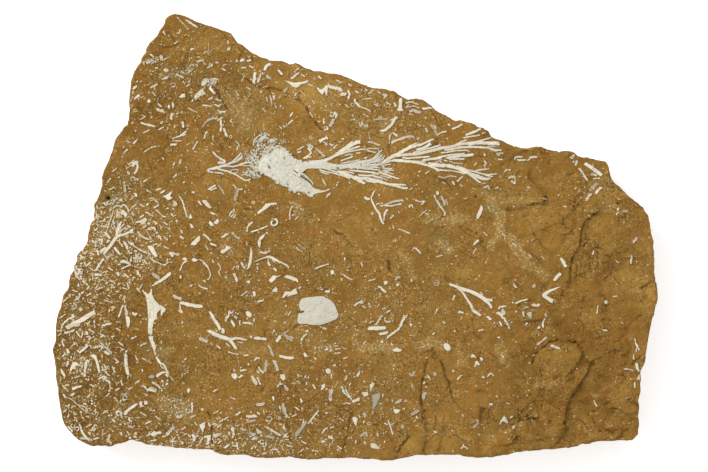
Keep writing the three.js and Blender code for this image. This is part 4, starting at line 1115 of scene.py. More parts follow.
    "spike_twig": """
250.9,247,0.9>251.4,251,2>251,257,2.8>250,263,3>248.2,268,2.2 249.8,266>246.8,269.4:1.4""",
    "upright_bar": "126,353.4,2.8>126,362,3.4>127,370,3.6>128.2,375.4,3",
    "far_left_bar": "69.6,325.4,3.6>80,321,4.6>88,316,4.6>94.4,311.8,3.6",
    "broad_left_bar": "149.6,245.4,4.8>153,251,4.4>156.8,257.2,3.2",
    "drooping_bar": """
#89.6,355.8>94,353.8>96.6,355.8>98.2,361>99.8,367>100.8,372.8>98.8,373.8>97,367>95.2,360.4>93,357""",
    "arched_twig": """
255.4,261.8,0.9>260,259.4,1.1>265,257.8,1.5>269,256.8,2.6>274,259,2.8>279,261.6,1.8>284,263.8,1.6>
287.6,266,1.7>289,268.6,1.2 267.6,261.6>270.6,266:2.6 256,264.2>259.4,264:1.2 268,258>268.4,262:0.9
272,259.8>275.4,262.4:1""",
    "curved_twig": """
380,131.2,2.2>385,130.2,2.6>389,127,2.8>392,124,2.8>394,120,2.8>397.2,116.4,2.4 390,120.4>394,118.8:1.6""",
    "long_slant_twig": """
371.2,198.4,1.8>373,203,2>376,209,2.2>379,213,2.3>381,219,2.2>383.8,224.6,1.8
375,190>373,194>371,198.6:1.3""",
}

# dark pits and slits inside a fossil: chart place and radius
pits = {
    "colony_core": [
        (269.4, 167.2, 1.1), (270.2, 168.3, 0.8), (268.6, 166.2, 0.6), (284.6, 157.2, 0.6),
        (284.3, 158.6, 0.7), (270.4, 160.4, 0.6), (277.5, 162.9, 0.35), (274.6, 167.1, 0.4),
        (272.6, 175.2, 0.5), (295.4, 175.9, 0.5), (287.4, 184.2, 0.6), (288.2, 184.8, 0.5), (286, 165.8, 0.35),
    ],
    "colony_lower_lobe": [(308.7, 192.6, 0.7), (309.6, 193.2, 0.6), (300.2, 182.6, 0.4)],
    "colony_main_stem": [
        (337.6, 168.2, 0.9), (338.8, 168.4, 0.8), (361.3, 164.6, 0.6), (361.4, 165.6, 0.4),
        (344, 170.2, 0.6), (347, 170.3, 0.6), (308, 161.2, 0.8), (308.6, 162.4, 0.4),
    ],
    "right_fork_stem": [(465.5, 293.4, 0.9)],
    "upright_bar": [(126.6, 358, 0.4), (127, 366, 0.4)],
}


# loose fragments, grouped by the part of the face they lie on
looseFragments = {
    "upperLeftFragments": """
177,17>189,30:0.8 185.6,19.4>190,22.6>197.8,27.8:1.7 163,31>165.5,35:1.5 w180.4,28.8>179,33.4:1.1
176.4,33.2>180.2,33.4:1.1 w169.3,36.8:1.2 f208.6,42.6>208.8,49>209.4,56:0.6 174,44>179,41:1
190,50>194,48.5:2 227,40>229,44:2 f#226.4,51.6>227.4,48>231,46.6>230.2,50.2
w215.4,61.6>218.6,63.4:2.2 211.4,63.6>212.4,66.4:1.9 f209,62.6>210.6,64:1 223,65>227,64.5:1
222,68>226,71:1.5 w235.8,59.8>238.2,61.8:2.3 w239.8,61.4>244.2,58.8:2.4 w246.6,61.2>251.2,59.8:1.7
226.6,60.6>228.2,60.8:1 230,60.2>231.8,62:1.1 221.4,45.4:1.5 241,68>246.5,67.5:1.5
249,65.5>254,68:1.5 255.5,72>253.5,84:3 w261.4,73>257.6,83:1.9 244.5,75>241.5,82:1 o173,85:2.5:1
g#162.8,70>165.4,67.8>168.8,69.2>169,71.6>165.6,72.8 p#161,79.6>165,76.6>169.6,75.2>167,79.4
p162,80>164.6,78.2>167.6,77:1.8 fn164,79>167,76>172,73>176,71>178,73>172,77>167,79:26:0.8
fn176,72>182,68>188,65>196,63.6>197.4,66>193,70>189,74.6>184,73>179,75:56:0.85
w191,64.4>193.4,64.8:1.2 w195,64>197,64.8:1 187.6,67>190.4,70:0.9 190.6,66>187.4,70.4:0.9
p181,71.4>185,73.6:1 g188,72.6>191.6,70.6:1.8 wn199.6,86>202,80.4>206,78.2>209,80>208,86>
204,87.6:44:1 n208,79>213,77.6>218,79>216,84>211,88>208,85:54:1 w#200.6,84.6>203.6,80.6>207,79.6>
206,84>202.6,86.4 209.6,79.4>214,78.4>219,80.2:1.2 211,84>214,80.6>217,82:1
n142.6,61>150,59>157,57>162.6,56>163,60.4>154,64>144,64.6:60:1.05 #159,56.6>161,54.4>163.8,56.4>
163,60>160.4,59.6 150,54>154,57:1.3 137.6,81.8:2.2 148,60.4>151,62.6:1.5 w#132,90>133.4,87>137,84.6>
137.6,87>135,89.2 w#131.6,98>133,95>133.6,96.4>132.6,99 w#133.4,99.4>136,96>139.6,93.4>140.4,96.4>
137,98.4>134.6,100.4 f131.8,93>134.4,90.8:1 #146.6,102.4>149,98.4>151.8,101.6>149.4,103.2
140.5,123>152,126>155.5,126.5:2 131,123.5>134.5,122:1.5 126,141>131,143:1 133,144>138,139:1.5
123,154>128,149:1.5 128,165>135,160:1.5 132,166>138,161:3 w#193,100>194.8,95.8>198.6,91.4>
202.4,88.8>204.6,91.4>203,94.2>198.6,97.4>195.4,98.4 d196.4,94.6>199.6,96:0.5 d199,92.2>202,94:0.5
203.4,92.6>206,94.8:1.2 191.4,101.6>193.6,99.4:1.4 n193,99>198,90>205,87>206,94>199,99>
194,101:34:1.1 f202,90>205.6,94.6:1.2 #208.2,87.6>211,86.6>214,90.6>216.8,94.6>213.6,94>210,90.6
#178,97.6>181.4,94.2>185.2,92.8>185.4,97.2>182,98.2 w157.8,103.2>160,105.6>161.6,107:1.6
w#167.6,105>169.4,104.4>170.6,106.4>169.6,109>167.8,108.6 w#171.8,102.4>173.2,101.6>174.4,105>
174,108.4>172.6,108.6>171.8,105.6 g156,109>165,112:3 171.5,113>171,120:2.5 182.5,121>183.5,128:2
172,139>180,136>187,131:1.5 182,136>186.5,134:1.2 172,141>182,141:1 170,145>177,144:2
192.5,150>198,141:1.3 202,105>209,106:1.5 202,128,1>206,122,1.4>211,118.5,2.4>218,118,2.6
204,139>207,131:1.5 213,135>213,141:1.5 218.4,105.6>221.8,104.4:1.3
w217.6,109.4>220,112>221.4,114.6:1.9 220.6,111.6>225.8,112:1.6 d214.6,87.4>217.6,92.4>220.6,98>
223.4,102.6>227.2,109.6:0.55 221,118>221,132:2 223.5,128>227,137:2.5 212.6,151.2,1.6>215.4,154.7,2>
219.6,158.2,2>223.2,160.3,2.4>226,162.3,2.2 217.6,163.2,2.2>222,163.2,2.6>226,162.2,1.6
180.5,159>180,164:2 162,157>164,160:1.2 239,145>236.5,150:1 235,140.6>238.6,143.6>240,147:0.9
f150,88>158,84:2 f176,74>184,78:2 g140,120>146,116:1.4 152,92>156,96:1 186,87>190,84:1.2
163,60>170,57:1 f196,62>204,60:1.6 210,52>213,49:0.9 207,68>211,66:1.2 f188,108>196,112:1.4
230,120>233,124:1 g143,133>150,130:1.6 150,148>157,146:1.1 158,130>164,127:1.2
f154,86.6>155.2,90.4:1.2 165,91.4>166.4,91.8:1 147.4,84.6>149,85.2:1 208,100>213,97:1.4
214,104>220,107:1.4 f215,99>222,101:2 g217,121>223,117:2 236,91>239,96:1 203,61>206,65:1
f144,152>151,148:1.4 f186,146>190,143:1""",
    "upperEdgeFragments": """
w#262.8,70.8>264.4,65.6>267.2,63.4>271.2,62.6>271.2,65.8>268.2,66.6>265.8,70.6 278,69.5>282.5,75:2
294,72>299,68:1 291,79>299.5,72.5:2 w#281.6,80>286,80.4>290,81.6>296,82.6>302,81.6>308.6,79.8>
310,81.6>306,83.6>300.6,84.8>297.6,88.2>294,88.4>291.4,85.6>288,82.6 266,76>271,78.5:3
328,82.5>329,86:2 330,87>343,91:2.5 283,92>288,88:2.5 266,97>268,102:1.5 270,95>272,104:1.2
274,95>274,100:2.5 275,105>277,108:1 280,105>281,107:2 284,107>283,109:1 293,112>290,117:1.5
293,120>288,124:1.5 279,126>282,129:1.3 283,125>285,128:1.3 287,126:1.2 264,120:1 268,126:1
304,129:1.2 286,140>283,143:1 w#315.6,86.8>318.8,87.4>320.8,89.6>324,88.2>325.6,85>328.2,85.4>
327.8,91>327.6,96.6>325.4,95.4>324.6,91.6>322.4,95.2>320,93.6>318,90.6 328,86>335,88>342,89:3
p#339.4,94>342,92>346.6,92.4>347.2,94.6>344.6,96.2>340.6,96 348,90>350,95>348,99:2 355,91>359,93:1.5
354,99>357,104>360,107:2.5 352,115>354,117:1.5 334,112>337,116>335,118:3 330,115>333,117:2
w334,118.6>329.6,127:3 324,118>324,124:2 o326,128.4:1.9:1.1 324,131>327.6,128:1.2 o332,114.6:2.2:1
332,130>335,133:2 341,124:1.2 w360,126.8>362.4,120.8:1 362,121>364.8,126.4:1
360.6,124.6>364,124.8:0.9 w366,126.6>368,124:1 366.4,124.2>368.4,126.8:1 g310,112>313,118:1.6
320,115:1.2 368,94>371,92:2 383,96>387,94:3.5 380,97:1.2 362,99>372,98.5:1.2
359,106>363,108>367,109>371,112:1.2 w#399.4,97.4>402.6,97.8>402.4,103>402,107.4>404.4,111.6>
400,111.4>396.4,110.6>398.6,106.6>398.8,101 394,102>396,107:2 403,113:1.2
g405,103>412,102>419,105:1.6 g407,107>414,106>420,108:1.2 409,112>413,110>418,112>421,113:2.5
422,109>430,108>434,108.5:2 406,108>409,104:1.8 o361,124:2.4:0.7 o366,127:1.6:0.7
392,142>400,139>409,136.5>415,137:2.4 393,133>398,136:2 389,139>390,135:1 f373,120>388,119:1
f378,117>384,119:2 424,123:1.2 426,127.4>427.4,132.6:2.2 g430.6,124>436,131.6>437,134.6:2.6
434,125>436.6,129:1 436.4,135.3>441.3,132.9>446.9,131.1:1.4 451.8,129>456.7,127.3>460.2,125.5>
462.7,123.8:1.7 448.3,123.6>449.8,126.2:2.4 417,140>420,137:2 463.1,137.9>467.3,137.1>474.3,136>
480.4,135.2:1.5 481.6,134>483.4,133.2>485.8,132.6:1.4 367.3,141.6>372.9,142.8>380.6,145.4:2.1
f370.4,140>368.6,132:0.8 389,144>390.1,137.7>391.1,134.2>393.9,132.8>396.7,135.3:0.9
p391,143>395.3,140.9>400.2,139.2>405.4,137:2.3 w#318,140>322,138>327.8,136>328.2,138.6>324.4,140.2>
320.4,143.2 325.8,135.8>328,139.4:1.7 323.6,141.6>327.4,145.6:2.1 329.2,143.6>333.6,145.8:1.8
333.4,149>337.4,144.2:1.3 p338.5,142.7>341.3,141.1:2 p341.2,139.1>344.6,138.9:1.7
329.2,151.2>332.4,149.4:1.3 343.4,145.8:1.6 296.4,150.4>304.6,146.4:1.1
307,145.6>310.6,144.8>313,147.6:1.3 n306,144>311,143.4>314,147>311,150.6>309,147:16:0.9
297,152.5>301.4,151.3:1.7 o310.6,147.2:2:1 307.6,148>311.2,152.6>307.4,156.4>302.7,158.8:1.5
304.8,158.4>312.5,156.7:1.4 316,148.2,1.3>321,153.2,1.8>325.4,156.9,2.2 321.4,156.2>325,155.4:1.8
309,150.4>312.4,149:1 f303,138>307,141:1 g246,87>252,90:1.4 f262,88>268,86:1.2 f300,90>306,96:1
312,100>315,104:1 g262,108>266,112:1.2 301,74>305,77:1.4 318,76>322,79:1.4 f336,80>342,83:1.6
308,84>313,86:1.2 f345,104>349,108:1.4 374,104>379,107:1 348,84>352,86:1.2 365,89>368,91:1.2
g377,91>381,94:1.6 f386,102>391,105:1.4 g363,114>369,117:1.2""",
    "leftFragments": """
126,169>130,166>134,165:1.5 130,163>137,163>137,170>134,174:2 128,171>129,175:2 o133,179:2.2:1
137,178>138,181:2 124,181>125,190>125,193:2 118,178>120,177:1.5 g#105,201.4>107.6,201.8>108.6,203.8>
106.4,204.8 g#112.4,199.8>115,198.8>116.8,200.8>114,202 #118.6,199.4>121.6,198>123,200.4>120.6,201.8
110.4,201>112.8,200:1.1 103.4,202.4>106.4,205.8:1.5 110.6,202.4>114,204.4:1.4
116.6,202.6>120,203:1.4 114.8,197.4>116.6,199:1.2 gn111,199.6>116,197.8>122,198>123,201.6>117,203>
111,203.6:34:1 n104,202.4>110,200.8>112,204>107,206:18:1 113,209>115,206.5>118,206>121,206.5:1.2
120.5,208>123,205>126,206>128,209>128.6,212.5:1.6 #121,210>124,209.5>127,213>127.5,216>125,218.5>
123.5,215>120.5,214 113.5,210>112,216>109,223>107.5,229>106,233:0.9 115,216>113,222>111,227:0.8
121.4,221.4>118.6,226>117,231>116.6,235:1.7 124.4,223.4>120.8,227.6>118.4,232.4:1.2
126,227.4>122.4,230>119,233.6:1 113.4,224>115.6,229>116.4,233:1 112.8,219.6>114.4,224:2
117.2,220.6>117,225:0.8 111,225.6>114,230:0.9 109.4,222>108,226:1.6 131,212>134,216:2.5
#134.5,222>138,220.5>142,219.5>144,217.5>146.5,218>148,220>145.5,222.5>142,224.5>139,223>135.5,223.5
142.4,228.4>146.4,224.4:1.9 147,229.4>151.6,229.4>153.6,227>155,231.4:1.4 105,218>104,221:2
96,222>99,221:2 102,224:2 105,231.6>107.4,235>110.4,239:2.3 96,240>95.2,247:1.2
98,240.4>102,239>101.6,245:1.7 n95.5,240>102,239>103,246>98,250>95.5,247:28:0.9
#95.5,249>96.6,252>98,256.5>99.6,254.8>99,251 #99,251.6>101,249>105,246.6>107.4,248>104,251>
101.4,254 137.4,231.4>140.4,235.2>144.6,238>149.6,239.6:1.7 o150.6,240.4:1.6:0.9 135,193>137,197:2.5
84,262>86,266>91,262:1.8 90,258>93,259:2 n74,269>79,266.6>82.6,270>82,278>79,280>75,277:70:1.1
#77.4,268.4>80,268>81.4,272>79.4,275>77.6,272 75,276.6>78,273:1.6 80,276>81.6,280:1.5
74.6,271>76.4,274:1.4 78,287>79,283:2 82,281>88,285:1.5 75,299>78,298>77,296:3
u#70,309>74,306.6>78,306.6>77,309>73,311 f#78,308>82,307.4>83,310>80,312 85,316>90,314>95,311:3
123.6,241>126,245>128,249.4:2.4 f119,242>123,247:1.6 128,250>130,254:1.5
128,241.6>131,244>135,246.4>140,250>147,253.4:1.5 #129.6,241.8>133.6,242.6>134.4,245.6>131.4,245
114,247>117,251>120,255:2.2 116.6,257:2.2 wn133.6,255>138,253.6>142,256>141,261.6>136,263.4>
133,259:44:1 131.2,256.6>130.6,263:1.6 134,250.6>137,252:2 #119.6,260.6>124,259.4>129,261.6>
131.6,264.4>129,265.2>124.4,263>120.6,263.4 131.4,264.6>126,266.6>121,269.2:1.5
117.6,264.6>121,264.2:1.8 d123.8,264.8>125.4,264.6:0.8 104,258.4>100,263.6>97,269>94,271.4:2.4
#94,272.6>99,273.4>103,274.6>102,276.6>98,276>94.6,277 123,273>129,278:1.8 117,272>119,276:3
137,270>139,275:2 127,282>129,289:1.8 122,288>129,289.6:1.5 123,305>118.6,317.5:1.4
g125,305>127,316:3 132,313>137,315:3 111,298:1.2 110,309>109,312:1.5 124,296>125,303:1
104,300>113,303:1 61,329>64,323>69,319>75,316.4:1.8 g#64,326.6>70,323>77,322>81,324>80,326.6>74,327>
68,330 64,333>70,332>75,330:2 76,331>80.6,338:1.3 82.8,331>82.4,335>81,338:1.3 62,340>64,347:1.5
#66,348>69,349>70.4,354>67,354 #78.4,353>81,349.4>86,345.6>89.6,344>88,347.6>83,351.6>80,354
91,345>91,349:1.2 93,348>98,346.6>103,345.4:1.8 99.6,341.6>104,346>108,349>112,354:1.9
#104,350>108,351.4>111.4,354.6>108,355.2>104.6,353.4 103,346>101,349.6:1.4 101,371>106,369:1.4
p102,366>104,371:1.4 p104,364>107,370:1.3 p106,366>109.6,369.4:1.1 103.6,371>108,371.6:1
p105,372>110,376:1.6 #72.4,362>77,361.6>79.4,365>76,366.4>73,369>71.4,372>69.6,371.2>70.6,367
68.4,360.6>67,367:2.2 59.6,365:1.4 #59.8,367>62,369>66,375>65.4,378>61.4,374
90,361.6>87,361>85.8,366>84.6,377:2.4 n85,360>91,361>92,367>88,369:12:0.8
#71.6,388>75,386>83,384.8>82,387>77,388.6>72.6,391 98,380>102,377>105,376:1.6
102.4,378.6>107,380.4>110.8,383.6:2 #103,375>106,375.6>108,379>104.6,379
n98,378>104,375>108,379>102,383:14:0.9 #101,325>106,323.4>112.4,322.2>112,324.6>106,325.6>101.4,327
116,322>121,322:1.5 94,320>95,328:1.2 116,328>121,331:1.2 #125,316>129,316>130.4,321>129.4,328>
127.4,328>126,322 126.6,350>126.2,353:2.4 w#141.6,384>144,385>147,387.4>146.6,390.6>144.6,388.6
w#146,388.6>149,388>153,389.6>157,391.6>156.4,393>151,391.6>147,391 142,358>147,361:1.2
142,369>143,372:1.2 135,384>140,380:2 121,380>123,386:1.5 112,366>115,372:1.2
u#147.4,377.8>149.2,375.2>152.4,374.4>155,375.8>154.8,378>151,378.8 111,337>115,336:1.5 58,350:2
w#159.4,193.4>162.6,190.6>166.4,189.8>164.6,192.4>160.6,194.2
w#161.2,196>166,195.4>169.6,192.2>172.6,190.8>169.6,195>170.6,197.6>175.4,195.8>171.6,198.8>
167.4,200.6>165.6,198 #173,200>177,202>178,205>175,207>173,204 w179.2,195.4>181.6,199.4>183.6,204.6>
184.6,209>187.4,217.6:1.4 #191,214>192,217>189.6,218.4 #189,223>192,224>195,229>191,228
192,193>195,192:2 172,208>175,210:2 166,209>169,208:1.5 171,213>174,217:1.5
148.8,199>152.8,198.2>155.4,200.6>158.8,203.6:0.9 150,201>153.4,199.8:0.9
w153.4,207.8>156,206.6>159,204.4:1.7 155.6,209.2>159,212.4>162.4,215.8:1 162,216>166,217.2:1.6
176,220>178,222:2 w147.8,230>150.4,228>154.6,228.2>155,230.6:1.6 180,230>183,232:3 180,236>184,239:2
o140,256:2.4:0.9 o136.6,260:2:0.9 p135,253>141,262:1 173,178>177,174:1.5 170,181>173,182:1
173,166>175,162:1.5 183,182>185,183:2 192,182>192,184:1 w#168.2,253.2>170.8,251.4>173.8,253.4>
174.4,256.6>171.4,257.6>170,255 172,252>177.4,255.6>179.4,255:1.4 170,254>180,254:1
167,262>168,258:1.6 w149.8,257>153,260.4>157.4,262.4>162,264.6:1.3 162.4,264.6>166.4,265:1.5
166,264>169.4,261.8:1.2 w131.3,252.8:3 179,271>181,269>182,265>185,262>188,261:1.2
w#191.4,259.4>194,257.4>196,259>198.6,259.6>197.4,261.4>194.4,262>192,261.4 193,254.6>194.6,257:1
183,258>187,260:3 196,254:1.2 198,259.4,1>202,260.6,1.3>204.4,263.4,2>207,266,1.8>209,269.4,1>
210.4,274,1.3>210,277.6,1.4>207.4,280,1 203,280>206,282:2.5 198,285>203,288>208,289:1.8
152,286>157,283:1.6 p152,273>157,277>160,279:3 180,275>181,279:2 191,286:2 172,288:1.5 189,295.5:1.5
173,295>178,298>182,299:3 178,310>182,313:1.5 182,324>183,321:1.2 172,336:1.2 172,322:1.2
f60,318>66,314:1.4 g64,301>69,297:1.6 f72,290>78,292:1.6 86,296>92,293:1.4 f96,290>103,287:1.6
88,302>95,304:1.2 g58,336>62,333:1.2 f88,329>95,333:1.6 100,334>106,337:1.3 f118,342>124,346:1.8
131,339>137,336:1.3 f140,346>147,343:1.5 135,355>138,361:1.2 114,358>119,362:1.4 f76,343>71,347:1.8
62,357>66,353:1.4 f74,378>80,376:1.6 90,384>95,387:1.6 f115,391>120,388:1.6 128,390>133,387:1.3
g99,284>95,289:1.3 139,290>143,284:1.2 f110,280>116,284:1.5 108,267>113,271:1.4 f84,242>89,246:1.6
106,243>110,240:1.1 94,231>98,228:1.3 g109,190>115,187:1.6 f112,172>117,168:1.3 107,183>111,178:1.2
143,182>148,179:1.2 f146,190>152,193:1.5 139,204>145,207:1.4 145,212>150,214:1.3
g163,222>168,225:1.6 163,236>168,240:1.3 157,247>162,243:1.2 f163,246>169,249:1.5""",
    "middleFragments": """
d446.6,346.8:1.1 d448.6,349.4>449.8,350.6:0.9 w382.2,341.8:3.6 w#356.4,375.4>358.2,372.4>360.8,368.6>
360.4,373>358.8,377>356.8,377.2 w#369.4,384.6>372,383.2>375,384.6>373.4,387>371.2,389.6>370.4,387.4
w254,361>256,358.8>258.6,357.6:1.7 p#247,363.6>249,362.8>250.2,364.6>248.4,366.4
233.4,368.8>235.6,371.6:1.3 p240.2,371.6>243.6,370.6>247,369.6:1.7
330.8,389.6>330.4,395>330.2,400.8:3.4 #218,162.6>220,160.6>223,161.6>222.6,164>219,164.4
208,190>212,187>216,185:1.8 g210,190.6>214,189>217,187.6:2.2 218,185>222,190>225,195:1
238,188,2.6>236.5,194,3>234.5,201,2.4 232,185>234,185>237,189:1.5 239,190>243,189:1.5 249,190:2
210,212>213,214>216,214:2 198,201>202,205:1.5 209,222>213,226:3.5 215,224>219,220:3.5
222,238>225,235>229,234:2.5 232,232>235,236>240,239:2 229.4,216.6>230.4,213.4>233,211.2>
235.4,211:1.1 230.8,217.6>234.4,212.8:1.1 232.8,218.6>236.2,214.2:1.1 233,210.4>234.8,208.6:1
234.6,218.4>236.4,216.8:1 w#190.6,213>193,218>189,219.4>188.8,216.6
247,232>248,227>250,224>253,222:2 251,232>258,230>268,226:1.5 203,234>207,237>211,241:1.8
326,198>331,193:1.2 338,184>336,186:1.5 350,183:2 257.4,213.6,2.4>261,211.4,3.6>266,206.4,3.6>
270,204.4,2.8>277,203.8,2 o274.4,222.4:3.4:1.7 w#266,232.8>265.4,235.4>262.8,239.2>260.6,240.6>
261.2,243.4>260.6,245.4>260.2,248.8>258.4,246.8>257.2,244.4>258,240.4>259.2,237.2>262.4,234.8
294,231:1.2 309,234:1.2 305,213:1.2 330,214:1.2 324,238:1.2 322,229:1 324,229:1 262,188:1.6
287,204:1.2 298,193>300,195:1.5 290,220>290,212>292,207>293,206:1.2 296,206>298,209:1
p292,216>296,213:1.2 p295,220>299,216:1.1 f300,208>304,211:1.4 f259,252>265,253>271,251:2
257,266>258,270:1.5 273,268>277,271:2 264,274>266,274:1.3 #273,275>279,276>272,283>268,281
277,277>281,275:1 w#275.8,285.6>278,289.6>277.4,292>273.6,292.4>272,290.6>274.4,288
w#281,297.6>283.8,294.8>284,291.6>287.6,291.2>290.8,291.8>294.6,288.6>297,287.6>296.6,291.6>
298.6,294>294.6,294.4>291.6,295.6>288,294.8>284.6,297.2>282.6,299 287,296.4>291.4,294.8:1.3
298.4,289>301,286.4:1.9 p437,280:1.2 go436.6,283:2.6:0.8 go436.8,283.2:1.1:0.7 257,302>264,300:1.8
284,302>286,301:2 286,306:2 288,316>291,311:1.2 315,269>322,266>329,264:1.3
#330,270.6>334,270>335,274>331,275 342,274>348,278>353,280:1.5 321,290>323,289:1.5
325,291>328,292>330,290:2.4 345,257>345,261:1.5 331,267:1.2 348,296:1.5 354,306>358,303>362,301:1.8
350,263:1.2 309,283:1.5 g296,247>299,250>303,252:1 g298,244>302,247>306,250:1
210,243>214,245>217,246:1.8 205,244>208,250:1 w#220,251.6>222.6,249.4>225.6,248.6>226.4,244.6>
228.4,246.6>231.4,246.8>231.6,248.4>228.4,250>225.4,251.8>223.6,254>221.4,253.6
231,249.6>233.4,253.6:0.9 226,256>228,257:1.3 218,258:2 218,263>221,268>219,272>221,277:1
212,259>214,263:1.2 227,275:2 247,264.6>245.4,267:1.4 241,262>245,269:2.5 236,266>239,270:1.2
238,265>239,268:1.2 232,270>235,266:1.2 245,260:2 234,273>236,278>237,282:2.5 247,281>250,283:3
w#252.4,291>255.6,291.4>256.2,295>254.6,297.6>252.8,296 251,295>253,298:1.5 241,296>248,291:1
239,292:1.5 n228.6,311>234,310.6>238.8,314>237.6,318.4>231,319:20:1.2
w#245.4,311.6>248.4,310.8>251.6,313>252,316.6>249.6,317.6>246.4,316 230,311>228,318:1.4
227,315>226,322:2.5 231,320>235,327:2.5 240,320>240,326:1 242,323>249,323>253,325:2
254,318>254,322:1.4 250,336>253,338:2 216,345>221,349:1.3 228,352>239,355:1 244,356>249,355:1.2
225,354:1.2 199,338>203,340>208,342:3 226,343>230,347:1.2 p238,342>244,343:1 184,360>187,358:1.8
395,279>400,276:2.5 398,285:3 384,284>387,281:3.5 378,286>382,289>386,293:2.5 379,293>381,295:1.2
361,262>363,267:1.5 366,251:1.5 364,276>367,277:1.2 f368,281>376,279:1.2 413,248>416,248>421,254:1.8
429,258.5:2 436,257>443,255:1 451,264>453,264:1.8 455,256>458,256:1.2 447,241:1.5
411,279>412,282:1.8 423,282:2 406,296:2 421,301.5:1.5 394,259:2 455,295>454,299>452,300:1.5
458,312>464,313:2 437,308>437,312:1.5 359,303>364,302:3 368,303>370,305:1.4 362,306>366,308:1.3
386,313>391,310:1.5 382,309>386,308:1.2 364,197,2.4>370,199.6,3 388,209>385,213>384,221:2
379,206>384,205.5>392,202>400,200.5>404,200.5:1.9 384,205.5>392,206>398,204.5>402,204:1.5
376,205>380,203:1.3 390,219>394,215:1.5 398,211>400,213:1.2 372,212>373,215:2 378,195>380,195:2
409,205>411,207:3 412,204>413,208:1 415,200>420,202>425,201:1.2 421,205>426,201:1.2
419,217>423,213>427,210:1.2 425,213>429,215:1.1 393,225>394,229:1.2 398,229>404,231>411,234:1.2
418,172>421,171:1.5 425,174>431,170:1.2 g438,176>444,178>450,176>457,177:1.4 457,182>463,176:1.5
452,181>455,185:1.8 460,184>463,187:1.3 442,182>446,184:1.2 437,191>438,195:3
434,195>437,201>442,208>445,213>444,216:1.8 441,196>444,201>445,206:2 446,199>448,205:1 463,218:1.2
370,236:1.2 393,230:1.2 409,190>413,188:1.1 g414,186>418,184:1 322.6,179>324,182>326,186:1.5
p336.6,183>339.4,182:1.2 336,187.6:1.2 326.6,196>331,193:1.2 p299,192:1.2""",
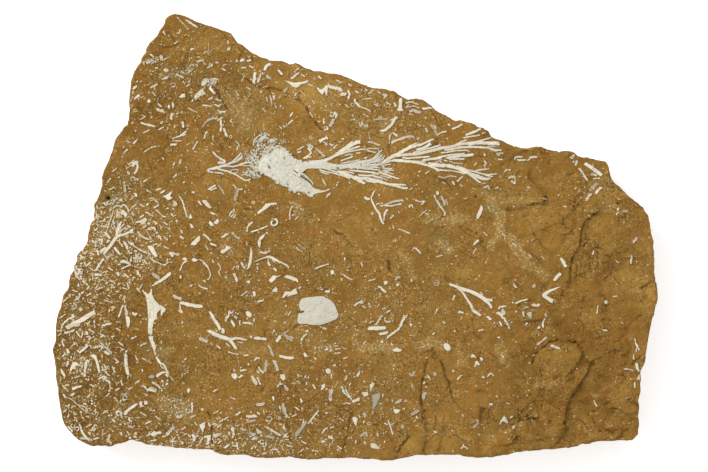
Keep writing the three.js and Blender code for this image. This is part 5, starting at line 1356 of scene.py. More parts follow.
    "rightFragments": """
484.5,153>484.9,156.6:1.5 496.4,153.4>500.4,155.6:2 g498,152.8>504,153.5:1.4 498,159>503,160:1.3
515,157>523,157:2 515,157>515,160:1.5 517,160>527,160:1.5 528,161>531,157>538,157:2 532,153:1.2
522,163:1.2 474.3,165.5>477.4,162.6:1.4 g484,160.6>485.6,162.4>487,164.6:2 483.6,165>486,167:2.2
574,154>573,157>570,158:2.5 577,160>576,166:2.5 580,163:1.3 573,161>574,163:2
579,168>583,173>585,177>588,181:1.8 f591,173>597,176:3.2 593,179>598,178>600,179:1.3
g592,190>594,186>598,183:3 596,194>598,190>602,187:2.6 596,193:3 586,201>588,197>591,193:3 581,198:2
584,194>585,192:2 569,195:2 610,205>610,207:1.5 607,211:2 598,210:2 617,210>619,208:2
616,215>619,212:1.2 g622,211>628,211:2.6 624,222:2 594,226:1.5 633,243>637,237:2.5
484,188>488,186>490,190:2 495,189>499,187:1.5 501,189:2 504,172>508,169:1.3 508,170>511,170:1.5
g508,178>514,176>515,179:2.6 511,181>516,183>513,184:1.5 527,187>531,188:2 545,179:1.2 514,206.5:2.2
561,189:1.2 486,222:1.2 497,225:1.2 546,238:1.2 543,198>547,200:1.5 559,194>559,196:1.5 562,197:1.8
563,206>567,207:1.3 473,245>479,240:2 473,254>477,248:1 486,280:1.3 g487,291:2 480,292>483,295:1.4
514,285>517,288:1.5 514,303>512,302:2 515,304>521,301>528,299:1.5 532,304>536,306>540,304:3
525,307>529,308:1.8 516,312:2.5 523,311>524,317:2 f528,312>532,318:4 545,313>546,317:2
498,309>500,307>507,306:1.8 502,309>504,314>505,315:4 497,312,3>500,314,3>505,320,2.4>508,325,2>
510,329,1.6 495,311:1.2 487,316>491,320:3 555,256:1.2 548,268.5:1.2 553,267:1.2 563,307:1.5
568,306:1.2 534,284>534,288:3 632,255>631,264:2 637,261.5:2 642,265:2 640,268:1.5
647,265.5>649,265:1.5 586,241:1.5 592,275:1.5 607,300>605,302>608,303:2.5 613,297>618,296:1.2
624,280:1.3 616,261>619,263:1.2 598,305>597,314:1.2 571,264:1.3 594,250>593,255:1.2
499,321>502,326:1.5 495,326:1.5 g480,331>482,329:4 497,337>500,338:2 543,328>543,322>545,318:1.8
538,329>540,326:1.8 525,325>528,323:1.5 537,345>542,341>547,337:2 536,348:1.8
w#549.8,345>553,344.4>557,346>560.8,348>560,350>555.6,348.8>551,347.4 566,351:2
w#470.6,355.4>472.8,353.6>476.8,357>476.2,358.6>473.4,357>471.4,358.4 471,356>472,358:1.5
w#474.4,362.6>477,360>480.4,364.6>478.6,365.4>476.6,363.4>475,366.4
w#479.6,358.6>481,356.8>483.2,358.4>482.8,361>480.8,361.2 474,367>477,364:1.5 482,376>485,378:2.5
487,377>491,373>494,376:1.2 488,368.5:1.3 469,373:1.2 502,355>504,358:1.5 519,351:1.2 527,356:1.8
529,362>530,364:1.2 532,356>535,355:1.2 513,380:1.2 515,387:1.5 514,331:1.5
w634.6,338.2,1.3>636,342.8,1.6>637.6,347,1.9>639.8,350.4,0.9 637,347.6>636.4,352:1.1
634,354>634,360:1.2 w#634.8,363>637.6,362.6>638.8,367>640,371.6>638.6,372.4>636,369
#640,373>640.5,380>636,380 635,382>635,388:1.5 624,369>629,369:2 629,369>634,371:1
630,378>632,380:1.5 602,330>608,331:1.5 614,330:1.5 621,322>624,324:1 573,335:1.5 577,369:2
f587,357:2 476,419>478,422>476,425>473,428:2.5 484,428:1.8 w#498.8,424.8>501.4,418.6>504.4,415>
506.6,418.6>509,423>507,424.2>504,420.4>502,421.6>500.4,425.4 510,418>513,416:1.5 513,429>515,425:2
505,432>507,433:2 509,438>509,440:2 493,436:2 489,404>493,404:1.8 490,408:1.3 518,397:2.2
506,403>510,404:1 531,405:1.5 462,414>464,417:1.5 470,413:1.2 573,407:1.2 591,430.5:2 593,427:1.2
569,434:1.2 573,438:1.2 568,443:1.2 620,408:2 618,412:1.2 619,415:1.2 630,423:1.8 627,398:2
628,423:1.1 616,405:1.1 594,400>597,407:1.2 p464,444>462.6,446.6>461,449:1.6
p462.6,446.4>466,447>468,449:1.5 g541,256>545,260:1.2 g488,206>491,212:1.6 f483,232>488,236:1.2
g528,254>532,258:1.6 f512,243>517,246:1.4 g502,233>506,237:1.4""",
    "lowerFragments": """
152,382>157,385>160,388>163,391:2 w162.6,381.4:3.4 w166.6,384.4:3.6 w163,386:2.8 w167.6,380.6:2.4
w150,387>157,391:2.5 181,375>183,377:3 #186.4,390>189.2,387.4>190.6,390.4>188.6,393.8
n181,365>188,365>190,372>184,376>181,372:16:0.9 #231,374>236,373>238,377>235,380>232,378
238,378>243,375:2 234,370:1.5 240,371>245,370:2 238,362>239,361:1 #250,375>254,376>259,384>256,386>
253,383 254,338>262,339>267,339:3 272,334>275,330:1.8 276,333>277,336:1.3 276,342>281,336:3.5
281,336>289,330:1 285,334>288,338>293,341:3 289,336>294,339:2 #303,354>305,352>308,356>305,358
301,341>304,336>307,334:2 309,341:2 315,347>316,349:2 315,357>316,360:2 320,355:1.2
322,328>327,329:1.8 284,322>286,323:1.8 305,331>309,331:1.4 268,345>271,350>272,354>274,356:2
266.4,359.4>266,366>264.4,372.4:2.7 258.4,366.4>260.6,370.6>264,373:1.6 256.6,371>260,373.4:1.3
274,360>276,366>278,371:3 272,365:1.3 p#280,374>285,374>286,379>283,381>280,378 257,377>261,385:1.8
277,387>279,384>283,384:1.8 285,385>288,391:2.5 #325.4,370>327.6,368>330.8,369.2>331.4,372.4>
329,374.4>326,373 331,373.6>332.2,379:1.2 333,365>336,366:2 325,349>328,350:2 331,349:1.3
f318.6,346.6>320,349:1 f321.4,345.6>322.4,348.6:0.9 326,346>328.6,350.2:1.1 f330,345.4>331.4,349:0.9
334,344>336.4,343:1 335,349.2>341,348.6:1.1 f334,346.4>339.4,346:0.9 p329.6,352>332,348.6:1.6
334,354>337,353>341,353:1.5 343,359>348,357:1.5 341,344:1.6 #357,374>361,368>360,376
345,381>347,375:1.8 349,386>351,383:1.5 297,374>300,377:1.8 305,378>306,375:1.3 308,376>309,379:1.3
306,382>307,385:1.4 309,385:1.2 313,384>315,389:1.8 322,387>325,385>321,390:3 332,389>331,394:3
341,386>345,393:1.5 336,329>338,326:1.2 p259,358:3 375,326>378,322>381,317>383,315:2
369,323>374,321:1.5 385,317>385,321>388,322>391,321:1.8 393,321:2
405,317,2.4>402,322,2.4>400,327,2.4>396,331,2.2>392,334,2>388,337,1.8>387,339,1.4
403,315>407,318:1.4 404,318>408,315:1.3 410,323>412,326:2.5 391,343>393,346:1.8
#391.6,350>397,347.6>400,349>403,350>400,352>394,352 g382,342:4 432,334>435,334:2 414,336:2
w#443.6,344.4>446,342.6>449.6,344.8>451,348.6>449.6,351.6>446.6,350.6>444,348.8 o446.4,345.8:2.4:0.8
443,321>445,324:1.3 364,322:1.8 363,345>366,341:1.2 409,373>412,376>415,371:2 434,372>436,376:2.5
433,379:1.5 394,375:2 427,375>431,380:1.3 398,382.5:2 p373,384:4 370,388>372,391:1.8 391,381:1.2
412,383>412,388:1.5 424,383:3 426,386>427,388:1.8 457,380>462,375:1.8 p453,371:3 458,391:2
#63,411>67.6,407.4>66.6,412>63.6,412.8 63,394>66,398:1.5 71,396>75,393:2.5 68,391:2
66,397>71,399>76,403>82,408.6>88,412.6>96,414.6:1 97.6,413>99,413:3 83,404>87,404:2 83,397:1.5
92,401:3 92,404:3 73,413>77,415:3 p81,412:3 75,420:2 83,418:2.5 95,419>98,419:2
80,424>81.4,430>83.4,434>86,437>90,441:2.2 80,438>90,439>93,441:2 88,432>91,435:1.5
93,439>99,438:1.5 68,426>73,432:2 o73,426:2:0.9 o77,429:2:0.9 103,414>106,410:1 105,413>108,410:1
100,405:1.2 106,417:1.2 103,420:1.2 n116,410>122,409.6>122.6,416>117,416:26:0.9
w#123.4,415.4>124.6,411>131,406>137,402.2>138.2,404.6>133,408.8>128.6,411.8>126.6,415.4
w139.6,403.6>141.6,407.2:1.5 w#138.8,402.4>141.4,400.8>142.6,403.4>142.8,407.6>140.6,407
w#143.8,401>147,400.4>148.8,403.6>146.6,404.8>144.4,405.4 wo119,413.6:2.7:1.4
wn121.4,394>125,392.6>128.4,394>128,399>123,401:26:0.9 p#110,416.6>113,418.6>116,420.6>115.4,423.4>
112.4,421.4 112,430>114,432:2 128,419>132,422:2 128,425>131,427>134,428:2.5 135,432>137,435:2
121,432>122,436:1.5 119,424>122,425:1.5 110,434>108,440>112,444:3 101,427:1.3 107,428:1.2 98,434:2
w#150.6,433.6>153,431.4>158,431.6>161.4,430.8>162,434>157,434.6>154,436.6>151,436
162,436>166,437:1.5 166,436>170,431>174,426:3 173,425:2 176,416>180,418>182,414:3 o188,411:2.2:1.1
192,402>192,413:2.5 195,406:1.5 201,410>204,409:2 #199,425>206,421>205,427>203,434>201,430
203,437>200,443>196,447:2 204,438>210,436>207,445:3 208,423>211,427:2 192,434>195,438>193,441:3
188,435>191,437:2 192,425:2 194,422>198,426:1.2 213,437>217,435>222,434:3
232,427>234,434>232,438:2.5 #222,448>228,444>231,444>226,449 232,446>238,446:1.5 237,442>238,450:1.5
246,417>257,416:3 g246,422>256,420:2 236,415>241,412:2 g223,406:1.6 252,440>256,437:2.5
249,436>256,434:3 256,405>261,404.5>265,403:2.5 257,412>260,415:1.5 o269,419:3:1.2
266,427>273,431>281,436:2.5 g256,430>262,433:4 u265,436>275,438:3.2 u246,432>251,436:2 o262,442:2:1
o264.6,445:1.8:1 272,449>278,450:2 283,403>284,410>287,418:3 279,406>281,410:2 p283,425>285,430:3
282,433>288,438:1.2 288,433>283,438:1.2 273,396>274,401:2 301,398>302,403:2
308,424>312,419>319,410:1.6 310,421>313,424:1 313,417>316,420:1 316,413>319,416:1 329,390:1.3
333,390:1.3 #328,397>333,400>330,402 322,434>325,429>328,428:1.3 330,428>334,427:1.4
328,437>333,437:4 321,442>325,441:1.8 342,391>350,398:1.5 345,389>352,400:1.5 352,402>360,399:3
346,403>351,404:1.5 #352,418>355,416>358,419>357,424>356,427>353,421 347,434:1.5 353,430:1.3
356,440>356,444:1.2 348,456:1.3 262,454>267,453:2 325,413>328,413:1.8 331,413:1.5
#361,392>368,392>369,396>364,397 u#371.6,394.6>375,394>381.6,391.4>380,398>377,404.6>373,411>
372,410>372.6,402 363,413>366,417:3 #393,409>397,409>401,410>399,413>395,414 403,408>405,410:1.5
395,403>402,400:2.5 g411,415>416,412>419,410:3 416,416>418,419:1.8 417,402:1.8
424,400>423,397>426,392:3 383,414:2 381,418:1.3 388,420>391,428>393,435:1.5 384,423>388,425:1.4
401,424.6>404,426.8:0.9 401,426.6>404,428.6:0.9 377,433>378,437:2 384,441>385,443:2 397,449:1.5
360,437>366,432>367,437:2 #370,443>375,443>381,448>378,450>371,448 434,431>437,433:1.5 437,401:1.8
u#294,437.4>295.4,432>299,428.4>302,424>306.4,419.4>307.6,422>305,427>301.6,431>298,436.8
n158,396>170,396>186,398>190,406>184,416>168,416>158,408:64:0.95 f140,412>147,416:1.6
145,424>152,421:1.4 f155,416>161,420:1.4 150,441>157,440:1.4 f170,441>178,442:1.6
181,430>186,427:1.3 f213,414>219,411:1.5 224,420>229,417:1.3 g240,428>246,431:1.6
217,428>222,424:1.3 f286,445>293,447:1.6 301,441>307,444:1.3 g312,450>319,452:1.6
337,446>342,449:1.3 f339,418>344,421:1.4 295,407>299,410:1.2 f292,417>297,414:1.4
300,452>304,449:1.1 f230,397>236,400:1.3 213,392>218,389:1.1 f190,418>196,415:1.4 96,424>92,429:1.4
f86,407>79,405:1.4 130,436>127,431:1.1 f118,402>114,397:1.4 106,397>110,393:1.1""",
}


# broken shell and branch debris too small to name, thicker in some zones
# a zone: centre, reach along x and y, turn, pieces, longest, widest, how dull (0 pale)
debris = {
    "leftDebris": [
        (108, 215, 22, 40, 15, 120, 5.0, 1.7, 0.3), (100, 262, 34, 34, 0, 150, 5.0, 1.9, 0.3),
        (80, 320, 24, 46, 0, 130, 5.5, 2.0, 0.32), (90, 375, 38, 38, 0, 170, 5.5, 2.0, 0.32),
        (130, 330, 30, 60, 0, 90, 4.5, 1.5, 0.4), (150, 235, 28, 40, 0, 90, 4.5, 1.6, 0.35),
        (120, 185, 20, 26, 0, 60, 4.5, 1.5, 0.35), (120, 248, 36, 50, 15, 230, 8.5, 1.9, 0.1),
        (120, 248, 42, 56, 15, 520, 2.8, 1.3, 0.2), (85, 330, 30, 40, 0, 90, 8.0, 2.0, 0.15),
        (90, 340, 36, 56, 0, 380, 2.7, 1.2, 0.25), (92, 380, 34, 34, 0, 70, 7.5, 1.9, 0.15),
        (140, 215, 30, 30, 0, 60, 6.5, 1.5, 0.2), (165, 250, 40, 40, 0, 120, 3.6, 1.3, 0.3),
        (112, 226, 18, 26, 0, 120, 8.0, 2.0, 0.02), (132, 255, 22, 22, 0, 90, 7.0, 1.8, 0.05),
        (95, 270, 20, 24, 0, 90, 7.0, 2.0, 0.08), (80, 350, 22, 34, 0, 70, 8.0, 2.2, 0.05),
    ],
    "lowerDebris": [
        (95, 418, 34, 24, 0, 110, 5.5, 2.2, 0.32), (150, 415, 34, 28, 0, 100, 5.0, 1.7, 0.35),
        (215, 432, 36, 20, 0, 90, 4.5, 1.6, 0.38), (290, 430, 50, 24, 0, 90, 4.5, 1.5, 0.4),
        (360, 420, 36, 32, 0, 70, 4.5, 1.6, 0.4), (200, 380, 50, 34, 0, 60, 4.0, 1.3, 0.45),
        (430, 400, 40, 44, 0, 28, 3.5, 1.2, 0.5), (300, 365, 60, 40, 0, 60, 3.5, 1.3, 0.45),
        (110, 420, 46, 26, 0, 90, 8.0, 2.0, 0.12), (110, 418, 50, 30, 0, 340, 2.7, 1.2, 0.25),
        (200, 435, 50, 18, 0, 60, 7.0, 1.8, 0.15), (220, 428, 70, 26, 0, 270, 2.6, 1.2, 0.3),
        (275, 432, 34, 20, 0, 50, 7.0, 1.8, 0.15), (320, 410, 60, 46, 0, 140, 3.4, 1.3, 0.35),
        (185, 441, 46, 8, 0, 110, 6.0, 1.9, 0.05), (245, 445, 40, 10, 0, 130, 5.0, 1.7, 0.08),
        (305, 447, 40, 9, 0, 90, 5.0, 1.6, 0.1), (228, 420, 60, 22, 0, 150, 3.6, 1.4, 0.1),
        (350, 400, 50, 50, 0, 90, 4.2, 1.6, 0.1), (260, 350, 110, 60, 0, 120, 3.0, 1.2, 0.2),
    ],
    "upperDebris": [
        (150, 80, 22, 40, 10, 70, 4.0, 1.3, 0.4), (185, 105, 34, 36, 0, 110, 4.0, 1.4, 0.42),
        (240, 105, 26, 34, 0, 100, 3.2, 1.1, 0.42), (200, 60, 30, 26, 0, 50, 3.5, 1.2, 0.45),
        (290, 105, 40, 34, 20, 60, 3.6, 1.3, 0.45), (350, 108, 40, 26, 20, 60, 4.0, 1.4, 0.4),
        (405, 115, 34, 20, 20, 50, 4.0, 1.4, 0.42), (170, 150, 50, 26, 0, 60, 4.0, 1.3, 0.42),
        (252, 165, 10, 12, 0, 34, 3.0, 1.2, 0.2), (386, 163, 10, 9, 0, 26, 3.6, 1.0, 0.15),
        (190, 100, 60, 50, 0, 110, 3.0, 1.2, 0.35), (165, 80, 30, 50, 20, 40, 6.0, 1.5, 0.3),
        (240, 110, 20, 24, 0, 110, 2.4, 1.1, 0.45), (330, 105, 80, 22, 20, 120, 2.8, 1.1, 0.4),
        (185, 110, 50, 50, 0, 110, 5.0, 1.6, 0.08), (300, 100, 60, 28, 20, 90, 4.6, 1.6, 0.1),
        (385, 110, 50, 18, 20, 60, 4.4, 1.5, 0.1), (255, 145, 34, 20, 0, 50, 3.6, 1.3, 0.15),
    ],
    "middleDebris": [
        (215, 245, 50, 40, 0, 70, 3.6, 1.3, 0.42), (285, 265, 50, 44, 0, 60, 3.4, 1.3, 0.42),
        (420, 195, 50, 24, 0, 55, 3.8, 1.2, 0.4), (492, 214, 7, 22, 14, 60, 2.2, 1.0, 0.25),
        (518, 246, 7, 24, -38, 60, 2.2, 1.0, 0.25), (537, 268, 8, 9, 0, 26, 2.2, 1.0, 0.25),
        (375, 348, 17, 5, 0, 60, 2.2, 1.0, 0.15), (432, 344, 20, 6, 0, 45, 2.2, 1.0, 0.2),
        (407, 264, 5, 13, -25, 26, 2.2, 0.9, 0.3), (446, 248, 7, 7, 0, 20, 2.0, 0.9, 0.45),
        (350, 250, 90, 60, 0, 110, 3.0, 1.1, 0.3), (162, 352, 6, 4, 0, 14, 2.0, 0.9, 0.4),
        (299, 249, 6, 5, 0, 14, 2.2, 0.8, 0.4), (299, 212, 7, 7, 0, 16, 2.4, 0.9, 0.35),
        (230, 240, 60, 50, 0, 90, 4.0, 1.5, 0.1), (330, 250, 110, 70, 0, 110, 2.6, 1.1, 0.2),
        (430, 200, 60, 26, 0, 50, 4.0, 1.4, 0.12), (372, 303, 28, 18, 0, 70, 5.0, 1.0, 0.2),
        (300, 338, 26, 20, 0, 60, 4.6, 1.1, 0.35), (338, 338, 22, 18, 0, 60, 4.6, 1.0, 0.35),
        (292, 312, 14, 30, 0, 50, 3.6, 1.1, 0.25), (350, 300, 110, 60, 0, 190, 2.4, 1.0, 0.3),
        (420, 300, 60, 60, 0, 90, 2.6, 1.0, 0.3), (300, 190, 90, 26, 0, 60, 2.6, 1.0, 0.3),
        (230, 290, 50, 50, 0, 90, 2.8, 1.1, 0.3), (270, 230, 70, 50, 0, 120, 2.4, 1.0, 0.15),
        (390, 260, 80, 60, 0, 90, 2.4, 1.0, 0.15),
    ],
    "rightDebris": [
        (600, 190, 26, 22, 30, 50, 4.0, 1.4, 0.42), (510, 175, 40, 22, 12, 45, 3.6, 1.2, 0.45),
        (520, 312, 24, 14, 0, 34, 3.0, 1.3, 0.4), (560, 280, 90, 110, 0, 60, 2.6, 1.0, 0.5),
        (500, 350, 60, 50, 0, 40, 2.8, 1.1, 0.5), (590, 410, 50, 36, 0, 22, 2.6, 1.0, 0.5),
        (500, 430, 50, 22, 0, 26, 2.8, 1.1, 0.5), (552, 386, 6, 3, 0, 12, 2.0, 0.8, 0.4),
        (480, 330, 70, 70, 0, 120, 2.4, 1.0, 0.35), (590, 250, 60, 60, 0, 90, 2.4, 1.0, 0.35),
        (500, 195, 60, 20, 10, 60, 2.8, 1.0, 0.3), (450, 420, 50, 30, 0, 50, 2.6, 1.0, 0.35),
    ],
}

# zones where even the debris is missing: centre, reach along x and y
bareSpots = [(107, 401, 11, 9), (151, 400, 7, 8), (145, 412, 7, 6), (232, 330, 16, 14), (560, 226, 22, 18)]

scatter = {
    "shortest": 0.22, "narrowest": 0.35,  # shares of the longest and the widest
    "bluish": 0.12, "bent": 0.12,  # shares of the pieces
    "rings": 0.008, "shards": 0.72,  # rings below the first number, shards up to the second, twigs above
    "frame": (50, 660, 12, 462),  # the part of the chart that is used
    "lowest": (0.0165, 0.016),  # metres: no debris below, nor with this just beside it
}


def tooLow(x, y):
    here, beside = scatter["lowest"]
    return surfaceAt(toX(x), toY(y)) < here or surfaceAt(toX(x + 1.5), toY(y)) < beside


def isBare(x, y, dice):
    left, right, upper, lower = scatter["frame"]
    if not (left < x < right and upper < y < lower) or taken[int(y), int(x)]:
        return True
    return bumpAt(x, y, 15, 3.3) + 0.35 * bumpAt(x, y, 5, 8.8) < dice.uniform(-0.75, -0.05)


def scatterBands(zones, dice):
    bands = []
    for cx, cy, rx, ry, turn, pieces, longest, widest, dull in zones:
        c, s = math.cos(math.radians(turn)), math.sin(math.radians(turn))
        for _ in range(pieces):
            reach, angle = math.sqrt(dice.random()) * 1.1, dice.uniform(0, 6.2832)
            du, dv = rx * reach * math.cos(angle), ry * reach * math.sin(angle)
            x, y = cx + du * c - dv * s, cy + du * s + dv * c
            short, narrow = scatter["shortest"], scatter["narrowest"]
            length = (short + (1 - short) * dice.random() ** 2) * longest
            width = min((narrow + (1 - narrow) * dice.random() ** 1.5) * widest, 0.8 * length + 0.3)
            heading = dice.uniform(0, 6.2832)
            bend = dice.gauss(0, 0.45 if dice.random() < scatter["bent"] else 0.05)
            form = dice.random()
            tone = min(0.85, max(0.0, dice.gauss(dull, 0.26)))
            if dice.random() < scatter["bluish"]:
                tone = -dice.uniform(0.1, 0.5)
            if isBare(x, y, dice):
                continue
            if longest > 2.5 and any(math.hypot((x - a) / wide, (y - b) / high) < 1
                                     for a, b, wide, high in bareSpots):
                continue
            if tooLow(x, y):
                continue
            ux, uy = math.cos(heading), math.sin(heading)
            if form < scatter["rings"] and longest > 3.2:  # the end of a hollow branch
                radius, squash = dice.uniform(0.9, 1.9), dice.uniform(0.6, 1.0)
                turns = [heading + a * 0.78 for a in range(9)]
                pts = [(x + radius * math.cos(t), y + radius * squash * math.sin(t)) for t in turns]
                bands.append(pathBand(pts, dice.uniform(0.5, 0.8), tone, 0.4, grid=(10, 3)))
            elif form < scatter["shards"]:
                stout = dice.uniform(0.55, 1.0)
                half, wide, taper = length / 2 * stout, width * 0.55 / stout, dice.uniform(0.1, 1.0)
                pts = []
                for along, aside in ((-1, -1), (-1, 1), (-0.1, 1), (1, taper), (1, -taper), (0.2, -1)):
                    u = along * half * dice.uniform(0.75, 1.1)
                    v = aside * wide * dice.uniform(0.5, 1.2)
                    pts.append((x + u * ux - v * uy, y + u * uy + v * ux))
                bands.append(patchBand(pts, tone, 0.3, grid=(4, 3)))
            else:
                mid = (x - uy * length * bend, y + ux * length * bend)
                skew = (dice.uniform(-1, 1), dice.uniform(-1, 1))
                near, far = [(x + side * ux * length / 2, y + side * uy * length / 2) for side in (-1, 1)]
                bands.append(pathBand([near, mid, far], width, tone, 0.45, dice.uniform(0.1, 0.5),
                                      grid=(4, 3), skew=skew, curved=False))
            bands[-1]["raise"] = dice.uniform(-0.12, -0.02)
    return bands




class Wire:  # a socket that can be used in sums
    def __init__(self, board, socket):
        self.board, self.socket = board, socket

    def math(self, operation, *others):
        return self.board.add("ShaderNodeMath", {"operation": operation}, dict(enumerate((self,) + others)))

    def __add__(self, other):
        return self.math("ADD", other)

    def __sub__(self, other):
        return self.math("SUBTRACT", other)

    def __mul__(self, other):
        return self.math("MULTIPLY", other)

    def __rsub__(self, other):
        return (self * -1.0) + other

    __radd__, __rmul__ = __add__, __mul__

    def clamp(self):
        return self.math("MAXIMUM", 0.0).math("MINIMUM", 1.0)

    def step(self, low, high):  # smooth ramp from 0 at low to 1 at high
        settings = {"interpolation_type": "SMOOTHSTEP"}
        return self.board.add("ShaderNodeMapRange", settings, {0: self, 1: low, 2: high, 3: 0.0, 4: 1.0})


class Board:  # one material's nodes
    def __init__(self, name):
        self.material = bpy.data.materials.new(name)
        self.material.use_nodes = True
        self.tree = self.material.node_tree
        self.shader = self.tree.nodes["Principled BSDF"]
        self.place = self.add("ShaderNodeTexCoord", {}, {}, "Object")

    def add(self, kind, settings, inputs, output=0):
        node = self.tree.nodes.new(kind)
        for key, value in settings.items():
            setattr(node, key, value)
        for key, value in inputs.items():
            socket = node.inputs[key]
            value = value.socket if isinstance(value, Wire) else value
            if isinstance(value, bpy.types.NodeSocket):
                self.tree.links.new(value, socket)
            else:
                socket.default_value = value
        return Wire(self, node.outputs[output])

    def attribute(self, name):
        return self.add("ShaderNodeAttribute", {"attribute_name": name}, {}, "Fac")

    def noise(self, size, detail=3.0, rough=0.55, stretch=None, warp=0.0):  # size in mm
        place = self.stretched(stretch) if stretch else self.place
        inputs = {"Vector": place, "Scale": 1000.0 / size, "Detail": detail, "Roughness": rough}
        return self.add("ShaderNodeTexNoise", {}, dict(inputs, Distortion=warp))

    def cells(self, size, output="Distance", feature="F1", bent=0.0):
        place = self.bent(size, bent) if bent else self.place
        inputs = {"Vector": place, "Scale": 1000.0 / size}
        return self.add("ShaderNodeTexVoronoi", {"feature": feature}, inputs, output)

    def bent(self, size, amount):  # places pushed about, so cells lose their round shape
        inputs = {"Vector": self.place, "Scale": 1400.0 / size, "Detail": 1.0}
        push = self.add("ShaderNodeTexNoise", {}, inputs, "Color")
        push = self.add("ShaderNodeVectorMath", {"operation": "SUBTRACT"}, {0: push, 1: (0.5, 0.5, 0.5)})
        amount = amount * size * mm
        push = self.add("ShaderNodeVectorMath", {"operation": "SCALE"}, {0: push, "Scale": amount})
        return self.add("ShaderNodeVectorMath", {"operation": "ADD"}, {0: self.place, 1: push})

    def stretched(self, scale):
        return self.add("ShaderNodeMapping", {}, {"Vector": self.place, "Scale": scale})

    def mix(self, factor, a, b, blend="MIX"):
        colour = [c if isinstance(c, Wire) else (*c, 1.0) for c in (a, b)]
        return self.add("ShaderNodeMix", {"data_type": "RGBA", "blend_type": blend, "clamp_factor": True},
                        {0: factor, 6: colour[0], 7: colour[1]}, 2)

    def cellLots(self, size, channel, bent=0.0):  # one random value for each cell
        return self.add("ShaderNodeSeparateColor", {}, {0: self.cells(size, "Color", bent=bent)}, channel)

    def specks(self, size, share, channel, low, high, soft=0.03, bent=0.0):  # some of the cells, as spots
        chosen = (share - self.cellLots(size, channel, bent)).step(0.0, soft)
        return (1 - self.cells(size, bent=bent).step(low, high)) * chosen

    def bumpy(self, height, strength, distance):
        inputs = {"Strength": strength, "Distance": distance, "Height": height}
        self.set(Normal=self.add("ShaderNodeBump", {}, inputs, "Normal"))

    def set(self, **values):
        for key, value in values.items():
            socket = self.shader.inputs[key.replace("_", " ")]
            if isinstance(value, Wire):
                self.tree.links.new(value.socket, socket)
            else:
                socket.default_value = value


studio = {
    "world": 0.68, "key": 18.5, "keyAt": (-1.0, 0.8, 0.95), "keySize": 0.9,
    "balance": 0.93,  # share of a screen colour that the finishes hold under this light
    "tableSize": 3.0, "tableTone": 0.93, "glow": 0.5,
}


def linear(value):  # one channel of a screen colour as light
    return value / 12.92 if value <= 0.04045 else ((value + 0.055) / 1.055) ** 2.4


def stone(*screen):  # a colour that comes out as this screen colour under the studio light
    return tuple(linear(c / 255) * studio["balance"] for c in screen)


ochre = {  # screen colours of the block
    "deep": (103, 70, 22), "middle": (149, 109, 46), "light": (186, 146, 78),
    "rust": (159, 98, 29), "olive": (134, 112, 56), "earth": (122, 95, 44),
    # the darkest brown here serves the cracks' fill and painted shade
    "yellowStain": (178, 138, 62), "greyStain": (140, 124, 72), "crack": (54, 35, 12), "hair": (84, 56, 20),
    "cloud": (168, 136, 74), "sand": (222, 200, 148), "wisp": (196, 164, 102),
    "fleck": (214, 184, 126), "bit": (232, 210, 162), "spot": (86, 60, 22),
    "bedDark": (112, 80, 38), "bedLight": (148, 112, 56), "chip": (178, 144, 84),
    "weathered": (96, 76, 44), "dusty": (176, 142, 86), "shell": (214, 194, 148),
}


